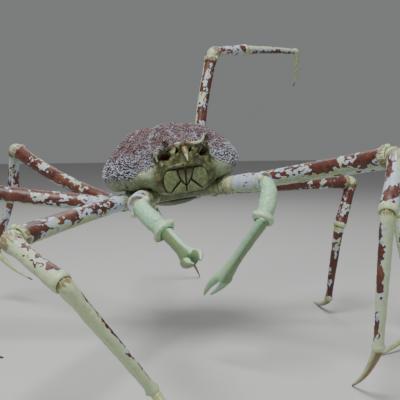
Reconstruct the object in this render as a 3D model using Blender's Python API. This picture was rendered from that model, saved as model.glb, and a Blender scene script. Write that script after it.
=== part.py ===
"""Japanese spider crab, life size, standing with one hind leg raised.

Metres, +Z up, the crab's face towards -Y and its left side towards +X.
The origin is on the floor, under the middle of the whole animal.
"""

import math

import bmesh
import bpy
import numpy as np
from mathutils import Matrix, Vector

# The carapace width drives the body: body sizes below are shares of it.
CARAPACE_WIDTH = 0.26
BODY_CENTRE = Vector((0.034, -0.040, 0.358))
BODY_PITCH = -9.0
BODY_ROLL = -7.5
JOINT_GAP = 0.0003

# Carapace, in shares of its width, from the middle of the widest place.
HALF_WIDTH = 0.50
FRONT_REACH = 0.455
REAR_REACH = 0.44
WIDEST_Y = 0.04
MARGIN_Z = -0.05
DOME_HEIGHT = 0.305
RIM_Z = -0.155
RIM_SLOPE = 0.09
BELLY_Z = -0.285

# Limb roots stand on a ring round the thorax, at these angles from the crab's side to its front.
RING_RADIUS = 0.345
RING_Y = 0.03
RING_Z = -0.24
COXA_LENGTH = {"0": 0.10, "1": 0.10, "2": 0.10, "3": 0.10, "4": 0.15}
COXA_DEPTH = 0.06
ROOT_ANGLE = {"0": 46, "1": 21, "2": -3, "3": -28, "4": -55}

# Lengths of the first walking leg, and what share of them each pair has.
LEG_LENGTHS = (0.325, 0.115, 0.208, 0.122)
PAIR_LENGTHS = {
    "1": (1.015, 1.00, 1.00, 1.00),
    "2": (1.045, 1.00, 1.00, 1.00),
    "3": (0.995, 0.93, 0.84, 0.93),
    "4": (0.97, 0.84, 0.92, 0.92),
}
PAIR_GIRTH = {"1": 1.0, "2": 1.0, "3": 0.93, "4": 0.82}
CLAW_LENGTHS = (0.120, 0.085, 0.140, 0.065)

# Each limb's pose: heading and elevation in degrees of its four long segments, from the body out.
# A heading of None at the end means that the tip is set on the floor.
LEG_POSE = {
    "L1": ((-59, 11), (-130, -45), (88, -86), (86, None)),
    "L2": ((-20, 9), (80, -78), (-78, -72), (-166, None)),
    "L3": ((5, 1), (205, -68), (103, -80), (81, None)),
    "L4": ((55, 73), (18, 8), (29, 4), (69, -45)),
    "R1": ((-126, -3), (-54, -22), (17, -53), (-64, None)),
    "R2": ((168, 7), (186, -45), (-29, -59), (-4, None)),
    "R3": ((130, 19), (100, -67), (122, -62), (-33, -32)),
    "R4": ((76, 7), (41, -59), (23, -51), (50, None)),
}
CLAW_POSE = {
    "L": ((-73, 7), (-123, -47), (118, -51), (107, -41)),
    "R": ((-104, 1), (-66, -25), (-90, -5), (-99, 6)),
}

# Radii along each kind of segment: (share of its length, radius in metres).
COXA_RADII = ((0.0, 0.0125), (0.55, 0.0142), (0.8, 0.0150), (1.0, 0.0138))
MERUS_RADII = (
    (0.0, 0.0132), (0.05, 0.0140), (0.11, 0.0138), (0.125, 0.0128), (0.145, 0.0140),
    (0.30, 0.0148), (0.60, 0.0153), (0.84, 0.0157), (0.92, 0.0170), (0.97, 0.0172), (1.0, 0.0158),
)
CARPUS_RADII = (
    (0.0, 0.0150), (0.10, 0.0146), (0.24, 0.0126), (0.50, 0.0126), (0.74, 0.0134),
    (0.90, 0.0150), (0.97, 0.0146), (1.0, 0.0128),
)
PROPODUS_RADII = (
    (0.0, 0.0122), (0.06, 0.0128), (0.16, 0.0112), (0.40, 0.0106), (0.70, 0.0093),
    (0.92, 0.0084), (0.97, 0.0098), (1.0, 0.0092),
)
DACTYL_RADII = (
    (0.0, 0.0084), (0.07, 0.0082), (0.25, 0.0068), (0.50, 0.0052), (0.75, 0.0036),
    (0.92, 0.0024), (1.0, 0.0017),
)
CLAW_COXA_RADII = ((0.0, 0.0130), (0.6, 0.0150), (1.0, 0.0145))
CLAW_MERUS_RADII = (
    (0.0, 0.0140), (0.18, 0.0150), (0.23, 0.0142), (0.30, 0.0160), (0.62, 0.0176),
    (0.84, 0.0178), (0.94, 0.0168), (1.0, 0.0156),
)
CLAW_CARPUS_RADII = (
    (0.0, 0.0130), (0.12, 0.0146), (0.42, 0.0156), (0.72, 0.0158), (0.83, 0.0146),
    (0.88, 0.0172), (0.97, 0.0174), (1.0, 0.0150),
)
PALM_RADII = (
    (0.0, 0.0118), (0.08, 0.0122), (0.35, 0.0112), (0.62, 0.0110), (0.82, 0.0128),
    (0.93, 0.0140), (1.0, 0.0128),
)
FINGER_RADII = ((0.0, 0.0072), (0.15, 0.0074), (0.45, 0.0056), (0.80, 0.0032), (1.0, 0.0012))

# The knuckles of the walking legs: how far back from the joint, how far out, and their radius.
MERUS_KNUCKLE = (0.0105, 0.0130, 0.0052)
CARPUS_KNUCKLE = (0.0085, 0.0105, 0.0046)

TUBE_SIDES = 12
FOOT_SINK = 0.0012
DACTYL_BOW = 0.06
SEGMENT_BOW = 0.015

SHELL_TOP = ("shell_top", (0.34, 0.22, 0.22, 1), 0.6)
SHELL_PALE = ("shell_pale", (0.62, 0.66, 0.50, 1), 0.5)
LEG_RUST = ("leg_rust", (0.45, 0.28, 0.20, 1), 0.45)
CLAW_PALE = ("claw_pale", (0.66, 0.76, 0.60, 1), 0.45)
EYE_DARK = ("eye_dark", (0.05, 0.03, 0.02, 1), 0.2)


def body_matrix():
    """Turns body coordinates, in carapace widths, into the crab's place in the world."""
    roll = Matrix.Rotation(math.radians(BODY_ROLL), 4, "Y")
    pitch = Matrix.Rotation(math.radians(BODY_PITCH), 4, "X")
    return Matrix.Translation(BODY_CENTRE) @ roll @ pitch @ Matrix.Scale(CARAPACE_WIDTH, 4)


def material(finish):
    """The Principled material of one finish, made once."""
    name, colour, roughness = finish
    made = bpy.data.materials.get(name)
    if made is None:
        made = bpy.data.materials.new(name)
        made.use_nodes = True
        shader = made.node_tree.nodes["Principled BSDF"]
        shader.inputs["Base Color"].default_value = colour
        shader.inputs["Roughness"].default_value = roughness
        shader.inputs["Metallic"].default_value = 0.0
    return made


def add_object(name, mesh, finish):
    """Links a mesh as one named sub-part with its material."""
    made = bpy.data.objects.new(name, mesh)
    bpy.context.scene.collection.objects.link(made)
    mesh.materials.append(material(finish))
    mesh.shade_smooth()
    mesh.set_sharp_from_angle(angle=math.radians(40))
    return made


def mesh_from_grid(name, rings):
    """A closed skin over rings of points, each ring joined to the next and the two ends filled."""
    sides = len(rings[0])
    points = np.concatenate(rings)
    faces = []
    for r in range(len(rings) - 1):
        for s in range(sides):
            a = r * sides + s
            b = r * sides + (s + 1) % sides
            faces.append((a, b, b + sides, a + sides))
    last = (len(rings) - 1) * sides
    faces.append(tuple(range(sides))[::-1])
    faces.append(tuple(range(last, last + sides)))
    mesh = bpy.data.meshes.new(name)
    mesh.from_pydata([tuple(p) for p in points], [], faces)
    fix_normals(mesh)
    return mesh


def fix_normals(mesh):
    """Makes every face point outwards."""
    work = bmesh.new()
    work.from_mesh(mesh)
    bmesh.ops.recalc_face_normals(work, faces=work.faces)
    work.to_mesh(mesh)
    work.free()


def cut_mesh(mesh, point, normal):
    """Takes away what lies beyond a plane, on the side that its normal points to, and fills the cut."""
    work = bmesh.new()
    work.from_mesh(mesh)
    everything = list(work.verts) + list(work.edges) + list(work.faces)
    bmesh.ops.bisect_plane(
        work, geom=everything, dist=1e-7, plane_co=point, plane_no=normal, clear_outer=True
    )
    rim = [e for e in work.edges if e.is_boundary]
    if rim:
        bmesh.ops.edgeloop_fill(work, edges=rim)
    bmesh.ops.recalc_face_normals(work, faces=work.faces)
    work.to_mesh(mesh)
    work.free()


def heading_vector(heading, elevation):
    """The unit vector of a heading in plan, from +X towards +Y, and an elevation, both in degrees."""
    h, e = math.radians(heading), math.radians(elevation)
    return Vector((math.cos(h) * math.cos(e), math.sin(h) * math.cos(e), math.sin(e)))


def side_frame(direction, hint):
    """Two unit vectors square to a direction: one near the hint, and one square to both."""
    up = (hint - direction * hint.dot(direction)).normalized()
    return up, direction.cross(up).normalized()


def circle(centre, up, side, radius, sides, flat=1.0, turn=0.0):
    """Points round a centre, flattened across its second direction."""
    angles = [2 * math.pi * (k + turn) / sides for k in range(sides)]
    return [centre + up * (radius * math.cos(a)) + side * (radius * flat * math.sin(a)) for a in angles]


def radius_at(table, share):
    """The radius at a share of the length, read smoothly from a short table of radii."""
    shares, radii = zip(*table)
    return float(np.interp(share, shares, radii))


def tube_mesh(name, start, end, radii, hint, bow=0.0, flat=1.0, girth=1.0, reach=(0.0, 0.0), grow=0.0):
    """A tapering tube from start to end, bowed towards the hint and flattened across it.

    reach carries its two ends on past start and end, for a mitre cut, and grow fattens it all over.
    """
    line = end - start
    length = line.length
    direction = line / length
    up, side = side_frame(direction, hint)
    shares = [row[0] for row in radii]
    places = [(s, radius_at(radii, s)) for s in shares]
    if reach[0] > 0:
        places.insert(0, (-reach[0] / length, radii[0][1]))
    if reach[1] > 0:
        places.append((1 + reach[1] / length, radii[-1][1]))
    rings = []
    for share, radius in places:
        bend = bow * length * math.sin(math.pi * min(max(share, 0), 1))
        centre = start + line * share + up * bend
        ring = circle(centre, up, side, radius * girth + grow, TUBE_SIDES, flat, 0.5)
        rings.append(np.array([tuple(p) for p in ring]))
    return mesh_from_grid(name, rings)


def union_into(base, helpers):
    """Joins the helpers to the base object with one Boolean union, and removes them."""
    group = bpy.data.collections.new(base.name + "_joined")
    bpy.context.scene.collection.children.link(group)
    for helper in helpers:
        bpy.context.scene.collection.objects.unlink(helper)
        group.objects.link(helper)
    boolean(base, "UNION", collection=group)
    for helper in helpers:
        bpy.data.objects.remove(helper)
    bpy.data.collections.remove(group)
    keep_largest(base)


def boolean(base, operation, helper=None, collection=None):
    """Applies one Boolean with the exact solver."""
    modifier = base.modifiers.new("join", "BOOLEAN")
    modifier.operation = operation
    modifier.solver = "EXACT"
    if collection is None:
        modifier.object = helper
    else:
        modifier.operand_type = "COLLECTION"
        modifier.collection = collection
    bpy.context.view_layer.update()
    graph = bpy.context.evaluated_depsgraph_get()
    solid = bpy.data.meshes.new_from_object(base.evaluated_get(graph))
    base.modifiers.clear()
    base.data = solid


def keep_largest(base):
    """Keeps the largest closed surface of an object."""
    work = bmesh.new()
    work.from_mesh(base.data)
    left = set(work.faces)
    groups = []
    while left:
        seed = left.pop()
        found, front = {seed}, [seed]
        while front:
            face = front.pop()
            for edge in face.edges:
                for other in edge.link_faces:
                    if other in left:
                        left.discard(other)
                        found.add(other)
                        front.append(other)
        groups.append(found)
    groups.sort(key=lambda g: sum(f.calc_area() for f in g))
    for loose in groups[:-1]:
        bmesh.ops.delete(work, geom=list(loose), context="FACES")
    bmesh.ops.delete(work, geom=[v for v in work.verts if not v.link_faces], context="VERTS")
    work.to_mesh(base.data)
    work.free()


def subtract(base, mesh):
    """Cuts one closed mesh out of an object."""
    cutter = bpy.data.objects.new("cutter", mesh)
    bpy.context.scene.collection.objects.link(cutter)
    boolean(base, "DIFFERENCE", helper=cutter)
    bpy.data.objects.remove(cutter)
    keep_largest(base)


def outline_radius(angle):
    """The carapace's outline in plan, as a radius from its widest place: pear-shaped, narrow in front.

    The angle runs from +X towards +Y. Behind, it is an ellipse. In front, it is an ellipse that is
    pinched on both sides of the snout.
    """
    c, s = math.cos(angle), math.sin(angle)
    if s >= 0:
        return 1 / math.sqrt((c / HALF_WIDTH) ** 2 + (s / REAR_REACH) ** 2)
    reach = FRONT_REACH + WIDEST_Y
    plain = 1 / math.sqrt((c / HALF_WIDTH) ** 2 + (s / reach) ** 2)
    away = abs(abs(math.remainder(angle, 2 * math.pi)) - math.pi / 2)
    waist = 1 - 0.13 * math.exp(-(((away - math.radians(32)) / math.radians(17)) ** 2))
    return plain * waist


# The swollen regions of the shell: x, y, spread in x, spread in y, height, in carapace widths.
REGIONS = (
    (0.0, -0.16, 0.13, 0.15, 0.050),
    (0.0, 0.17, 0.09, 0.11, 0.045),
    (0.25, 0.09, 0.12, 0.22, 0.045),
    (-0.25, 0.09, 0.12, 0.22, 0.045),
    (0.23, -0.22, 0.07, 0.07, 0.020),
    (-0.23, -0.22, 0.07, 0.07, 0.020),
)


def region_height(x, y):
    """How far the swollen regions lift the shell at a place in plan."""
    return sum(
        height * math.exp(-(((x - cx) / sx) ** 2) - ((y - cy) / sy) ** 2)
        for cx, cy, sx, sy, height in REGIONS
    )


def shell_point(angle, tilt):
    """A point of the carapace, in carapace widths.

    The tilt runs from 0 on top to 90 degrees at the margin and on to 150 under the rim. The plan
    radius is the outline times the sine of the tilt, raised to a power that fills out the sides.
    """
    radius = outline_radius(angle) * math.sin(tilt) ** 0.93
    x = radius * math.cos(angle)
    y = radius * math.sin(angle) + WIDEST_Y
    rise = math.cos(tilt)
    if rise >= 0:
        snout = max(0.0, -y - 0.12)
        height = DOME_HEIGHT - 0.30 * snout
        z = MARGIN_Z + snout * 0.22 * (1 - rise) + height * rise**1.15 + region_height(x, y) * rise
    else:
        z = MARGIN_Z + 0.22 * max(0.0, -y - 0.12) * (1 + rise) + 0.20 * rise
    return Vector((x, y, z))


def shell_normal(angle, tilt):
    """The outward direction of the carapace, from three near points of it."""
    step = 0.02
    p = shell_point(angle, tilt)
    a = shell_point(angle + step, tilt) - p
    b = shell_point(angle, tilt + step) - p
    n = b.cross(a).normalized()
    centre = Vector((0, WIDEST_Y, MARGIN_Z))
    return n if n.dot(p - centre) > 0 else -n


# The straight cut between the shell's rim and the chest falls a little towards the front.
RIM_DOWN = Vector((0, RIM_SLOPE, -1)).normalized()
SHELL_AROUND = 40
SHELL_TILTS = (9, 20, 31, 42, 52, 62, 71, 80, 90, 102, 116, 130, 144)


def to_world(mesh):
    """Moves a mesh from body coordinates to the world."""
    mesh.transform(body_matrix())
    fix_normals(mesh)
    return mesh


def head_block(grow=0.0):
    """The mouth frame under the front of the shell: a block with rounded corners that narrows downwards."""
    rings = []
    for z, half, front, back in (
        (0.03, 0.17, -0.405, -0.20), (-0.07, 0.19, -0.408, -0.22), (-0.14, 0.205, -0.398, -0.25),
        (-0.19, 0.205, -0.382, -0.30), (-0.225, 0.18, -0.366, -0.315), (-0.24, 0.14, -0.352, -0.325),
    ):
        middle, deep = (front + back) / 2, (back - front) / 2
        ring = []
        for k in range(16):
            a = 2 * math.pi * (k + 0.5) / 16
            c, s = math.cos(a), math.sin(a)
            x = (half + grow) * math.copysign(abs(c) ** 0.5, c)
            y = middle + (deep + grow) * math.copysign(abs(s) ** 0.5, s)
            ring.append((x, y, z - grow))
        rings.append(np.array(ring))
    return mesh_from_grid("head_block", rings)


def cone_between(name, base, tip, radius, sides=6):
    """A closed cone from a base point to a tip, for a spine or a horn."""
    direction = (tip - base).normalized()
    hint = Vector((0.3, 0.2, 1)) if abs(direction.z) < 0.9 else Vector((1, 0.2, 0))
    up, side = side_frame(direction, hint)
    ring = circle(base, up, side, radius, sides)
    mesh = bpy.data.meshes.new(name)
    faces = [tuple(range(sides))[::-1]] + [(k, (k + 1) % sides, sides) for k in range(sides)]
    mesh.from_pydata([tuple(p) for p in ring] + [tuple(tip)], [], faces)
    fix_normals(mesh)
    return mesh


# The snout: a short shelf between the eyes that carries the two horns, in carapace widths.
SNOUT_PATH = ((0.0, -0.30, 0.040), (0.0, -0.38, 0.045), (0.0, -0.435, 0.056), (0.0, -0.464, 0.064))
SNOUT_RADII = (0.062, 0.056, 0.040, 0.012)

# Horns of the snout and spines round the orbits: root, tip and root radius, in carapace widths.
FACE_SPINES = (
    ((0.022, -0.40, 0.058), (0.108, -0.515, 0.102), 0.030),
    ((0.085, -0.34, 0.080), (0.116, -0.425, 0.138), 0.022),
    ((0.120, -0.33, 0.030), (0.178, -0.428, 0.040), 0.024),
    ((0.130, -0.32, -0.005), (0.190, -0.428, 0.000), 0.026),
    ((0.070, -0.36, -0.020), (0.078, -0.448, -0.024), 0.018),
    ((0.215, -0.27, -0.040), (0.292, -0.400, -0.062), 0.030),
)
MIDDLE_SPINE = ((0.0, -0.40, 0.050), (0.0, -0.490, -0.046), 0.024)

# Spines of the shell's back: their number, where they end below the top, and their sizes.
SPINE_COUNT = 130
SPINE_END_TILT = 86
SPINE_HEIGHT = (0.020, 0.034)
SPINE_WIDTH = (0.0135, 0.0185)
SPINE_SINK = 0.014

# Eyes: where the stalk leaves the shell and where the eye ends, in carapace widths.
EYE_ROOT = (0.120, -0.365, 0.040)
EYE_TIP = (0.144, -0.450, 0.104)
EYE_RADIUS = 0.0165
ANTENNA_ROOT = (0.058, -0.395, -0.012)
ANTENNA_KNEE = (0.070, -0.452, -0.026)
ANTENNA_TIP = (0.115, -0.525, 0.020)


def mirrored(place, side):
    """A place on the crab's left, or its mirror image on the right."""
    return Vector((place[0] * side, place[1], place[2]))


def back_spines():
    """Short conical spines over the back, spread evenly by the golden angle, larger towards the sides."""
    spines = []
    for i in range(SPINE_COUNT):
        share = (i + 0.5) / SPINE_COUNT
        tilt = math.acos(1 - share * (1 - math.cos(math.radians(SPINE_END_TILT))))
        angle = (i * math.radians(137.508)) % (2 * math.pi) - math.pi
        place = shell_point(angle, tilt)
        if place.y < -0.36 and abs(place.x) < 0.24:
            continue
        out = shell_normal(angle, tilt)
        height = SPINE_HEIGHT[0] + (SPINE_HEIGHT[1] - SPINE_HEIGHT[0]) * share
        width = SPINE_WIDTH[0] + (SPINE_WIDTH[1] - SPINE_WIDTH[0]) * share
        cone = cone_between("spine", place - out * SPINE_SINK, place + out * height, width, 5)
        spines.append(add_object("spine", cone, SHELL_TOP))
    return spines


def carapace():
    """The domed shell with the mouth frame, the horns and the spines of the face and the back."""
    rings = []
    for tilt in SHELL_TILTS:
        ring = []
        for k in range(SHELL_AROUND):
            ring.append(shell_point(2 * math.pi * k / SHELL_AROUND - math.pi, math.radians(tilt)))
        rings.append(np.array([tuple(p) for p in ring]))
    mesh = mesh_from_grid("carapace", rings)
    cut_mesh(mesh, (0, 0, RIM_Z), RIM_DOWN)
    shell = add_object("carapace", mesh, SHELL_TOP)
    helpers = [add_object("head_block", head_block(), SHELL_PALE)]
    snout = capsule_path("snout", [Vector(p) for p in SNOUT_PATH], SNOUT_RADII, 0.0)
    helpers.append(add_object("snout", snout, SHELL_TOP))
    for side in (1, -1):
        for base, tip, radius in FACE_SPINES:
            cone = cone_between("spine", mirrored(base, side), mirrored(tip, side), radius)
            helpers.append(add_object("spine", cone, SHELL_PALE))
    cone = cone_between("spine", Vector(MIDDLE_SPINE[0]), Vector(MIDDLE_SPINE[1]), MIDDLE_SPINE[2])
    helpers.append(add_object("spine", cone, SHELL_PALE))
    union_into(shell, helpers + back_spines())
    gap = JOINT_GAP / CARAPACE_WIDTH
    for side in (1, -1):
        subtract(shell, eye_mesh(side, gap))
        subtract(shell, antenna_mesh(side, gap))
        subtract(shell, mouth_plate(side, gap))
    to_world(shell.data)
    return shell


def capsule_path(name, points, radii, grow):
    """A round-ended tube through a few points, each with its radius, in body coordinates."""
    sides = 10
    rings = []
    last = len(points) - 1
    hint = Vector((0.1, 0.2, 1))
    for i, (point, radius) in enumerate(zip(points, radii)):
        before, after = points[max(i - 1, 0)], points[min(i + 1, last)]
        direction = (after - before).normalized()
        up, across = side_frame(direction, hint)
        fat = radius + grow
        place = point
        if i in (0, last):
            place = point + direction * (grow if i == last else -grow)
        rings.append(np.array([tuple(p) for p in circle(place, up, across, fat, sides)]))
    return mesh_from_grid(name, rings)


def eye_mesh(side, grow=0.0):
    """A stalked eye: a thin stalk that swells into an egg-shaped eye."""
    root, tip = mirrored(EYE_ROOT, side), mirrored(EYE_TIP, side)
    shares = (-0.35, 0.0, 0.35, 0.55, 0.75, 0.92, 1.0)
    swell = (0.70, 0.72, 0.80, 1.0, 1.0, 0.72, 0.35)
    points = [root.lerp(tip, s) for s in shares]
    return capsule_path("eye", points, [EYE_RADIUS * w for w in swell], grow)


def antenna_mesh(side, grow=0.0):
    """A feeler: a thick first joint, then a thin whip that curves up and out."""
    root, knee, tip = (mirrored(p, side) for p in (ANTENNA_ROOT, ANTENNA_KNEE, ANTENNA_TIP))
    points = [root, knee, knee.lerp(tip, 0.15), knee.lerp(tip, 0.5) + Vector((0, -0.01, -0.012)), tip]
    return capsule_path("antenna", points, (0.016, 0.014, 0.006, 0.0045, 0.0025), grow)


def mouth_plate(side, grow=0.0):
    """One of the two plates that close the mouth: a rounded plate that leans forward at its top."""
    rings = []
    for share in (0.0, 0.12, 0.5, 0.88, 1.0):
        z = -0.095 - 0.13 * share
        edge = math.sin(math.pi * min(max(share, 0.04), 0.96)) ** 0.3
        inner, outer = 0.008, 0.008 + 0.145 * edge
        front = -0.425 + 0.040 * share
        depth = 0.012 + 0.022 * edge
        ring = []
        for k in range(12):
            a = 2 * math.pi * (k + 0.5) / 12
            c, s = math.cos(a), math.sin(a)
            x = (inner + outer) / 2 + ((outer - inner) / 2 + grow) * math.copysign(abs(c) ** 0.6, c)
            y = front + 0.02 + (depth + grow) * math.copysign(abs(s) ** 0.7, s)
            step = grow * (1 if share == 0.0 else -1 if share == 1.0 else 0)
            ring.append((x * side, y, z + step))
        rings.append(np.array(ring))
    return mesh_from_grid("mouth_plate", rings)


def small_face_parts():
    """Eyes, feelers and mouth plates, each in the socket that its grown copy cut."""
    for name, side in (("L", 1), ("R", -1)):
        add_object("eye_" + name, to_world(eye_mesh(side)), EYE_DARK)
        add_object("antenna_" + name, to_world(antenna_mesh(side)), SHELL_PALE)
        add_object("maxilliped_" + name, to_world(mouth_plate(side)), SHELL_PALE)


def thorax(limbs):
    """The chest under the shell, a low bowl with a socket for each limb."""
    gap = JOINT_GAP / CARAPACE_WIDTH
    rings = []
    for z, reach in (
        (-0.10, 0.345), (-0.19, 0.350), (-0.235, 0.345), (-0.262, 0.315), (-0.277, 0.26), (BELLY_Z, 0.19),
    ):
        ring = []
        for k in range(30):
            a = 2 * math.pi * k / 30
            front = 0.88 if math.sin(a) < 0 else 1.02
            ring.append((reach * math.cos(a), RING_Y + reach * front * math.sin(a), z))
        rings.append(np.array(ring))
    mesh = mesh_from_grid("thorax", rings)
    cut_mesh(mesh, Vector((0, 0, RIM_Z)) + RIM_DOWN * gap, -RIM_DOWN)
    chest = add_object("thorax", mesh, SHELL_PALE)
    subtract(chest, head_block(gap))
    to_world(chest.data)
    for limb in limbs:
        subtract(chest, limb.coxa_mesh(grow=JOINT_GAP))


def abdomen():
    """The broad tail plate folded under the chest, with a groove between its segments."""
    gap = JOINT_GAP / CARAPACE_WIDTH
    rings = []
    for drop, share in ((gap, 1.0), (0.010, 0.99), (0.020, 0.86), (0.025, 0.55)):
        ring = []
        for k in range(28):
            a = 2 * math.pi * k / 28
            ring.append((0.155 * share * math.cos(a), 0.055 + 0.175 * share * math.sin(a), BELLY_Z - drop))
        rings.append(np.array(ring))
    plate = add_object("abdomen", to_world(mesh_from_grid("abdomen", rings)), SHELL_PALE)
    return plate


class Limb:
    """One leg or claw arm: where its joints are and how its segments are cut against each other."""

    def __init__(self, name, side, pair, pose, lengths, girth):
        self.name, self.girth = name, girth
        angle = math.radians(ROOT_ANGLE[pair])
        out = Vector((side * math.cos(angle), -math.sin(angle), 0))
        ring = Vector((0, RING_Y, RING_Z)) + out * RING_RADIUS
        place = body_matrix()
        self.seat = place @ (ring - out * COXA_DEPTH)
        root = place @ (ring + out * COXA_LENGTH[pair])
        self.joints = [self.seat, root]
        for (heading, elevation), length in zip(pose, lengths):
            last = self.joints[-1]
            if elevation is None:
                elevation = self.floor_elevation(heading, length)
            self.joints.append(last + heading_vector(heading, elevation) * length)
        self.stands = pose[-1][1] is None
        self.lines = [(b - a).normalized() for a, b in zip(self.joints, self.joints[1:])]

    def floor_elevation(self, heading, length):
        """The elevation at which the lowest part of the bowed dactyl just sinks into the floor."""
        start = self.joints[-1]
        before = (start - self.joints[-2]).normalized()
        low, high = -89.0, 0.0
        for _ in range(20):
            elevation = (low + high) / 2
            line = heading_vector(heading, elevation)
            up, side = side_frame(line, before - line)
            depth = min(
                (start + line * (length * share) + up * (DACTYL_BOW * length * math.sin(math.pi * share))).z
                - radius * self.girth
                for share, radius in DACTYL_RADII[2:]
            )
            low, high = (elevation, high) if depth < -FOOT_SINK else (low, elevation)
        return low

    def mitre(self, mesh, index):
        """Cuts a segment at both its joints, half a gap short of the plane that halves the bend."""
        start, end = self.joints[index], self.joints[index + 1]
        if index > 0:
            plane = (self.lines[index - 1] + self.lines[index]).normalized()
            cut_mesh(mesh, start + plane * (JOINT_GAP / 2), -plane)
        if index + 1 < len(self.lines):
            plane = (self.lines[index] + self.lines[index + 1]).normalized()
            cut_mesh(mesh, end - plane * (JOINT_GAP / 2), plane)
        return mesh

    def reach_at(self, joint, radius):
        """How far a tube runs on past a joint so that a mitre cut leaves no hole."""
        bend = self.lines[joint - 1].angle(self.lines[joint])
        return 1.3 * radius * math.tan(bend / 2) + 0.002

    def segment(self, index, radii, hint, bow=0.0, flat=1.0):
        """The closed tube of one segment, cut at its joints."""
        before = self.reach_at(index, radii[0][1] * self.girth) if index > 0 else 0.0
        after = self.reach_at(index + 1, radii[-1][1] * self.girth) if index + 1 < len(self.lines) else 0.0
        mesh = tube_mesh(
            self.name, self.joints[index], self.joints[index + 1], radii, hint,
            bow, flat, self.girth, (before, after),
        )
        return self.mitre(mesh, index)

    def hint(self, index):
        """The outer side of the bend at the start of a segment, which its back faces."""
        hint = self.lines[index - 1] - self.lines[index]
        return hint if hint.length > 0.2 else Vector((0, 0, 1))

    def coxa_mesh(self, grow=0.0):
        """The short root joint, which starts inside the chest. Its grown copy cuts the socket."""
        radii = CLAW_COXA_RADII if self.name.startswith("claw") else COXA_RADII
        after = self.reach_at(1, radii[-1][1] * self.girth)
        start = self.seat - self.lines[0] * grow
        up = Vector((0, 0, 1))
        mesh = tube_mesh(
            self.name, start, self.joints[1], radii, up, 0.0, 1.0, self.girth, (0.0, after), grow
        )
        if grow == 0.0:
            plane = (self.lines[0] + self.lines[1]).normalized()
            cut_mesh(mesh, self.joints[1] - plane * (JOINT_GAP / 2), plane)
        return mesh


def walking_leg(limb):
    """Coxa, merus with ischium, carpus, propodus and dactyl of one leg."""
    add_object(limb.name + "_coxa", limb.coxa_mesh(), SHELL_PALE)
    up = Vector((0, 0, 1))
    if abs(limb.lines[1].z) > 0.85:
        up = limb.hint(2)
    mesh = limb.segment(1, MERUS_RADII, up, SEGMENT_BOW, 0.94)
    merus = add_object(limb.name + "_merus", mesh, LEG_RUST)
    mesh = limb.segment(2, CARPUS_RADII, limb.hint(2), SEGMENT_BOW, 0.94)
    carpus = add_object(limb.name + "_carpus", mesh, LEG_RUST)
    mesh = limb.segment(3, PROPODUS_RADII, limb.hint(3), SEGMENT_BOW, 0.92)
    add_object(limb.name + "_propodus", mesh, LEG_RUST)
    union_into(merus, knuckles(limb, 1, MERUS_KNUCKLE))
    union_into(carpus, knuckles(limb, 2, CARPUS_KNUCKLE))
    tip = limb.segment(4, DACTYL_RADII, limb.hint(4), DACTYL_BOW, 0.88)
    if limb.stands:
        cut_mesh(tip, (0, 0, 0), (0, 0, -1))
    add_object(limb.name + "_dactyl", tip, CLAW_PALE)


def knob(centre, radius, fineness=1):
    """A small ball with flat facets, for a joint's knuckle."""
    work = bmesh.new()
    bmesh.ops.create_icosphere(work, subdivisions=fineness, radius=radius)
    mesh = bpy.data.meshes.new("knuckle")
    work.to_mesh(mesh)
    work.free()
    mesh.transform(Matrix.Translation(centre))
    return add_object("knuckle", mesh, CLAW_PALE)


def knuckles(limb, index, sizes):
    """The two knuckles beside the hinge at the far end of a segment, from their place and radius."""
    back, out, radius = (size * limb.girth for size in sizes)
    line = limb.lines[index]
    up, across = side_frame(line, limb.hint(index + 1))
    end = limb.joints[index + 1]
    return [knob(end - line * back + across * (out * side), radius) for side in (1, -1)]


def claw_arm(limb):
    """Coxa, merus, carpus with its knuckles, palm with the fixed finger, and the moving finger."""
    add_object(limb.name + "_coxa", limb.coxa_mesh(), SHELL_PALE)
    add_object(limb.name + "_merus", limb.segment(1, CLAW_MERUS_RADII, Vector((0, 0, 1))), LEG_RUST)
    back = limb.hint(2)
    carpus = add_object(limb.name + "_carpus", limb.segment(2, CLAW_CARPUS_RADII, back, 0.07), CLAW_PALE)
    line = limb.lines[2]
    up, across = side_frame(line, back)
    start, end = limb.joints[2], limb.joints[3]
    lumps = [
        knob(start + line * 0.017 + across * 0.0150, 0.0062, 2),
        knob(start + line * 0.017 - across * 0.0150, 0.0062, 2),
        knob(end - line * 0.008 + across * 0.0165, 0.0042),
        knob(end - line * 0.008 - across * 0.0165, 0.0042),
    ]
    union_into(carpus, lumps)
    palm_and_fingers(limb)


def palm_and_fingers(limb):
    """The long palm, which widens where the two fingers leave it side by side."""
    line = limb.lines[3]
    start, end = limb.joints[3], limb.joints[4]
    up, across = side_frame(line, limb.hint(3))
    mesh = tube_mesh(
        limb.name, start, end, PALM_RADII, across, 0.0, 0.80, 1.0, (limb.reach_at(3, PALM_RADII[0][1]), 0.0)
    )
    plane = (limb.lines[2] + limb.lines[3]).normalized()
    cut_mesh(mesh, start + plane * (JOINT_GAP / 2), -plane)
    palm = add_object(limb.name + "_palm", mesh, CLAW_PALE)
    finger_line = limb.lines[4]
    length = (limb.joints[5] - limb.joints[4]).length
    root = end - line * 0.012 - across * 0.0072
    tip = root + finger_line * length * 1.02 + across * 0.004
    fixed = tube_mesh("finger", root, tip, FINGER_RADII, -across, 0.05, 0.8)
    union_into(palm, [add_object("finger", fixed, CLAW_PALE)])
    root = end + across * 0.0074 - line * 0.004
    tip = root + finger_line * length * 0.98 - across * 0.001
    moving = tube_mesh("finger", root, tip, FINGER_RADII, across, 0.06, 0.8)
    root = root - finger_line * JOINT_GAP
    socket = tube_mesh("finger", root, tip, FINGER_RADII, across, 0.06, 0.8, grow=JOINT_GAP)
    subtract(palm, socket)
    add_object(limb.name + "_finger", moving, CLAW_PALE)


def clear_scene():
    """Removes whatever the file opened with."""
    for old in list(bpy.data.objects):
        bpy.data.objects.remove(old)


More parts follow.
